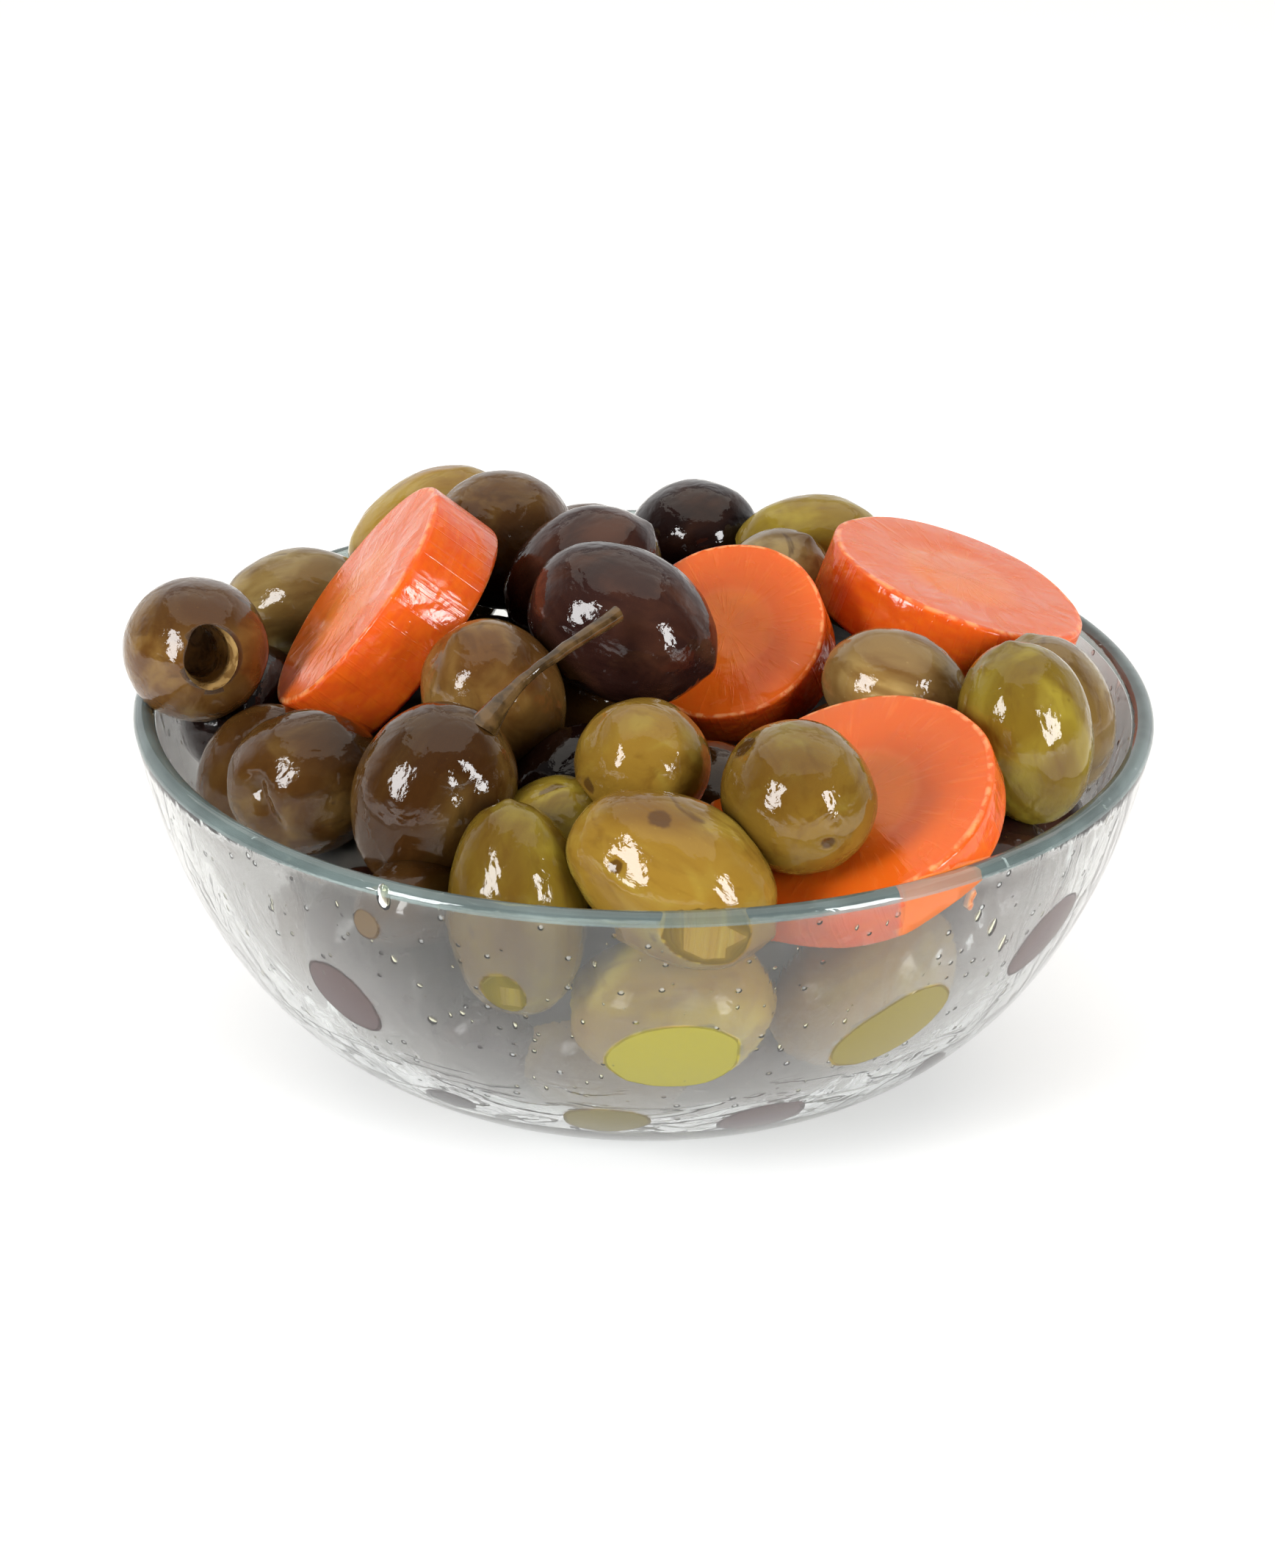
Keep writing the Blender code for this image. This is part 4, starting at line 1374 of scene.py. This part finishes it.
@dataclass
class Stalk:
    """The stalk of the stemmed olive."""

    route: tuple[Point, ...] = (
        (-20.8, -40.0, 64.5),
        (-17.6, -36.5, 68.4),
        (-11.5, -31.5, 71.6),
        (-3.6, -23.2, 73.9),
    )
    widths: tuple[float, ...] = (2.3, 0.9, 0.75, 1.2)
    radius: float = 0.95 * MM
    stretches: int = 7

    def build(self) -> Object:
        """Draws the stalk along its route, thicker at both ends."""
        curve = bpy.data.curves.new("stalk", "CURVE")
        curve.dimensions = "3D"
        curve.bevel_depth = self.radius
        curve.bevel_resolution = 4
        curve.use_fill_caps = True
        curve.resolution_u = self.stretches
        line = curve.splines.new("NURBS")
        line.points.add(len(self.route) - 1)
        line.use_endpoint_u = True
        line.order_u = 3
        for point, place, width in zip(line.points, self.route, self.widths):
            point.co = (*(Vector(place) * MM), 1.0)
            point.radius = width
        guide = bpy.data.objects.new("stalk_guide", curve)
        bpy.context.scene.collection.objects.link(guide)
        graph = bpy.context.evaluated_depsgraph_get()
        builder = bmesh.new()
        builder.from_mesh(guide.evaluated_get(graph).to_mesh())
        remove(guide)
        bmesh.ops.remove_doubles(builder, verts=builder.verts, dist=1e-6)
        for point in builder.verts:
            point.co += UP * 0.25 * MM * noise.noise(point.co * 500.0)
        bmesh.ops.recalc_face_normals(builder, faces=builder.faces)
        return new_object("stalk", builder)


@dataclass(frozen=True)
class CarrotSlice:
    """One thick slice of carrot."""

    node: str
    centre: Point
    axis: Point
    radius: float
    thickness: float
    segments: int = 96
    edge: float = 1.0 * MM
    rings: int = 7
    ring_width: float = 0.115
    core_radius: float = 0.47

    def build(self, room: Object | None = None) -> Object:
        """Cuts the slice.

        Args:
            room: The space it may fill, for a slice that touches the glass.

        Returns:
            The slice in the bowl's frame, with its cut coordinates kept on its points.
        """
        builder = bmesh.new()
        radius = self.radius * MM
        half = self.thickness * MM / 2
        sizes = {"radius1": radius, "radius2": radius, "depth": 2 * half}
        bmesh.ops.create_cone(builder, cap_ends=True, segments=self.segments, **sizes)
        rims = [edge for edge in builder.edges if abs(edge.verts[0].co.z - edge.verts[1].co.z) < 1e-7]
        rounding = {"segments": 4, "profile": 0.5, "affect": "EDGES", "material": -1}
        bmesh.ops.bevel(builder, geom=rims, offset=self.edge, **rounding)
        caps = [face for face in builder.faces if len(face.verts) > 20]
        ring = radius * self.ring_width
        for _ in range(self.rings):
            bmesh.ops.inset_region(builder, faces=caps, thickness=ring, use_even_offset=True)
            caps = [face for face in caps if face.is_valid]
        bmesh.ops.poke(builder, faces=caps)
        walls = [edge for edge in builder.edges if abs(edge.verts[0].co.z - edge.verts[1].co.z) > half]
        bmesh.ops.subdivide_edges(builder, edges=walls, cuts=4, use_grid_fill=True)
        cut = builder.verts.layers.float_vector.new("cut")
        side = builder.verts.layers.float.new("side")
        offset = Vector(self.centre)
        for point in builder.verts:
            across = math.hypot(point.co.x, point.co.y) / radius
            around = Vector((point.co.x, point.co.y, 0.0)).normalized()
            point[cut] = point.co / radius + UP * offset.x
            point[side] = min(max((across - 0.955) / 0.04, 0.0), 1.0)
            lobes = 0.028 * noise.noise(around * 1.1 + offset) + 0.008 * noise.noise(around * 4.0 + offset)
            point.co.x *= 1.0 + lobes * across - 0.012
            point.co.y *= 1.0 + lobes * across - 0.012
            swell = noise.noise(Vector((point.co.x, point.co.y, 0.0)) * 90.0 + offset)
            ridge = bell(across - self.core_radius, 0.05)
            sign = 1.0 if point.co.z > 0 else -1.0
            point.co.z += (1.0 - point[side]) * sign * (0.25 * MM * swell - 0.15 * MM * ridge - 0.2 * MM)
        place = aim(Vector(self.centre) * MM, Vector(self.axis))
        bmesh.ops.transform(builder, matrix=place, verts=builder.verts)
        bmesh.ops.recalc_face_normals(builder, faces=builder.faces)
        made = new_object(self.node.replace("slice", "piece"), builder, 45.0)
        if room:
            cut_with(made, room, "INTERSECT")
        return made


CARROT_SLICES = (
    CarrotSlice("carrot_slice_left", (-35.3, 1.3, 63.1), (-0.78, -0.04, 0.62), 18.2, 11.4),
    CarrotSlice("carrot_slice_middle", (12.3, 1.2, 59.6), (-0.23, -0.62, 0.75), 13.7, 9.6),
    CarrotSlice("carrot_slice_right", (42.6, 16.9, 59.4), (0.32, 0.02, 0.95), 18.7, 9.5),
    CarrotSlice("carrot_slice_front", (27.5, -39.3, 52.4), (-0.33, -0.28, 0.90), 20.0, 6.8),
)


@dataclass
class Studio:
    """Pale floor, soft light and the camera."""

    elevation: float = 23.5
    roll: float = 0.6
    distance: float = 600 * MM
    target_height: float = 53 * MM
    lens: float = 100.0
    focal_pixels: float = 5930.0
    target_above_middle: float = 127.5
    target_right_of_middle: float = 8.0

    def place_camera(self) -> None:
        """Puts the camera at the photograph's angle and distance."""
        data = bpy.data.cameras.new("camera")
        data.lens = self.lens
        data.sensor_width = 36.0
        data.clip_start = 0.01
        camera = bpy.data.objects.new("camera", data)
        bpy.context.scene.collection.objects.link(camera)
        rise = math.radians(self.elevation)
        height = self.target_height + self.distance * math.sin(rise)
        camera.location = (0.0, -self.distance * math.cos(rise), height)
        down = rise + math.atan(self.target_above_middle / self.focal_pixels)
        left = math.atan(self.target_right_of_middle / self.focal_pixels)
        turn = Matrix.Rotation(left, 4, "Z") @ Matrix.Rotation(math.pi / 2 - down, 4, "X")
        camera.rotation_euler = (turn @ Matrix.Rotation(math.radians(self.roll), 4, "Z")).to_euler()
        bpy.context.scene.camera = camera

    def light(self) -> None:
        """Sets a white surround and two tall soft windows before the bowl, with a broad light above."""
        self._world()
        self._window("window_left", -50.0, 24.0, 0.85, (0.24, 0.42), 7.0)
        self._window("window_right", 46.0, 18.0, 0.85, (0.22, 0.42), 7.0)
        self._window("overhead", 180.0, 76.0, 1.0, (1.5, 1.5), 8.0, 0.14)

    def _window(
        self,
        name: str,
        bearing: float,
        rise: float,
        away: float,
        size: tuple[float, float],
        power: float,
        warmth: float = 0.0,
    ) -> None:
        """Hangs one soft window.

        Args:
            name: The light's name.
            bearing: Degrees to the right of the camera, as seen from the bowl.
            rise: Degrees above level.
            away: Distance from the bowl.
            size: Width and height.
            power: Power in watts.
            warmth: How much less green and blue than red it gives, from 0 to 1.
        """
        data = bpy.data.lights.new(name, "AREA")
        data.shape = "RECTANGLE"
        data.size, data.size_y = size
        data.energy = power
        data.color = (1.0, 1.0 - 0.4 * warmth, 1.0 - warmth)
        lamp = bpy.data.objects.new(name, data)
        bpy.context.scene.collection.objects.link(lamp)
        around = math.radians(bearing - 90.0)
        up = math.radians(rise)
        middle = Vector((0.0, 0.0, 50 * MM))
        way = Vector((math.cos(around) * math.cos(up), math.sin(around) * math.cos(up), math.sin(up)))
        lamp.location = middle + way * away
        lamp.rotation_euler = way.to_track_quat("Z", "Y").to_euler()

    @staticmethod
    def _world() -> None:
        """White behind and above, dimmer in front, and plain white for the camera."""
        world = bpy.data.worlds.new("studio")
        bpy.context.scene.world = world
        world.use_nodes = True
        tree = Tree(world.node_tree)
        world.node_tree.nodes.clear()
        parts = tree.split(tree.node("ShaderNodeTexCoord").outputs["Generated"])
        back = tree.ramp(parts["Y"], -0.1, 0.6)
        above = tree.ramp(parts["Z"], 0.3, 0.75)
        low_back = tree.times(back, tree.minus(1.0, above))
        level = tree.plus(0.05, tree.plus(tree.times(low_back, 1.05), tree.times(above, 0.12)))
        shade = tree.node("ShaderNodeBackground", {"Color": WHITE, "Strength": level})
        plain = tree.node("ShaderNodeBackground", {"Color": WHITE, "Strength": 1.0})
        seen = tree.node("ShaderNodeLightPath").outputs["Is Camera Ray"]
        both = tree.node("ShaderNodeMixShader", {0: seen, 1: shade.outputs[0], 2: plain.outputs[0]})
        tree.node("ShaderNodeOutputWorld", {"Surface": both.outputs[0]})

    @staticmethod
    def floor(finish: Material) -> None:
        """Lays the pale floor, which isn't part of the object."""
        builder = bmesh.new()
        bmesh.ops.create_grid(builder, x_segments=2, y_segments=2, size=4.0)
        made = new_object("floor", builder)
        made.data.materials.append(finish)

    @staticmethod
    def develop() -> None:
        """Shows colours as they are, with plain whites."""
        view = bpy.context.scene.view_settings
        view.view_transform = "Standard"
        view.look = "None"
        cycles = bpy.context.scene.cycles
        cycles.caustics_refractive = False
        cycles.caustics_reflective = False
        cycles.max_bounces = 10
        cycles.diffuse_bounces = 3
        cycles.glossy_bounces = 3
        cycles.transmission_bounces = 9
        cycles.transparent_max_bounces = 10


def hand_over(piece: Object, finishes: tuple[Material, ...], node: str) -> None:
    """Dresses a piece, hides the solid that it stands for and hangs the piece under the root.

    Args:
        piece: The shaped piece.
        finishes: What its faces wear, by material number. Empty if it is dressed already.
        node: The solid that it replaces.
    """
    for finish in finishes:
        piece.data.materials.append(finish)
    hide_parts(node)
    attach(piece, "root")
    log.info("%s: %d faces for %s", piece.name, len(piece.data.polygons), node)


def main() -> None:
    """Builds the scene, piece by piece."""
    logging.basicConfig(level=logging.INFO, format="%(name)s: %(message)s")
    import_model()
    effects = SharedEffects()
    shape = BowlShape()

    bowl = GlassBowl(shape)
    glass = bowl.build()
    finishes = (GlassFinish(), OiledGlassFinish(), LipFinish())
    bowl.dress(glass, tuple(finish.make(effects) for finish in finishes))
    hand_over(glass, (), "bowl")

    heap = OliveHeap(shape)
    for kind, piece in heap.build().items():
        finishes = (OLIVE_FINISHES[kind], OLIVE_FLESH) if kind is OliveKind.BROWN else (OLIVE_FINISHES[kind],)
        hand_over(piece, tuple(finish.make(effects) for finish in finishes), "olive_heap")
    oil = Oil(shape)
    wet = OilFinish().make(effects)
    others = (
        (heap.build_core(), SHADE_CORE_FINISH.make(effects)),
        (Stalk().build(), OLIVE_STALK.make(effects)),
        (oil.build_film(), OilyFilmFinish().make(effects)),
        (oil.build_pool(), wet),
        (oil.build_beads(), wet),
    )
    for piece, finish in others:
        hand_over(piece, (finish,), "olive_heap")

    hand_over(oil.build_crumb(), (CARROT_CRUMB.make(effects),), "carrot_slice_front")
    cut_finish = CarrotFinish().make(effects)
    room = heap.build_room()
    for carrot in CARROT_SLICES:
        piece = carrot.build(room if carrot.node.endswith("front") else None)
        hand_over(piece, (cut_finish,), carrot.node)
    remove(room)

    studio = Studio()
    studio.floor(FloorFinish().make(effects))
    studio.place_camera()
    studio.light()
    studio.develop()


if __name__ == "__main__":
    main()
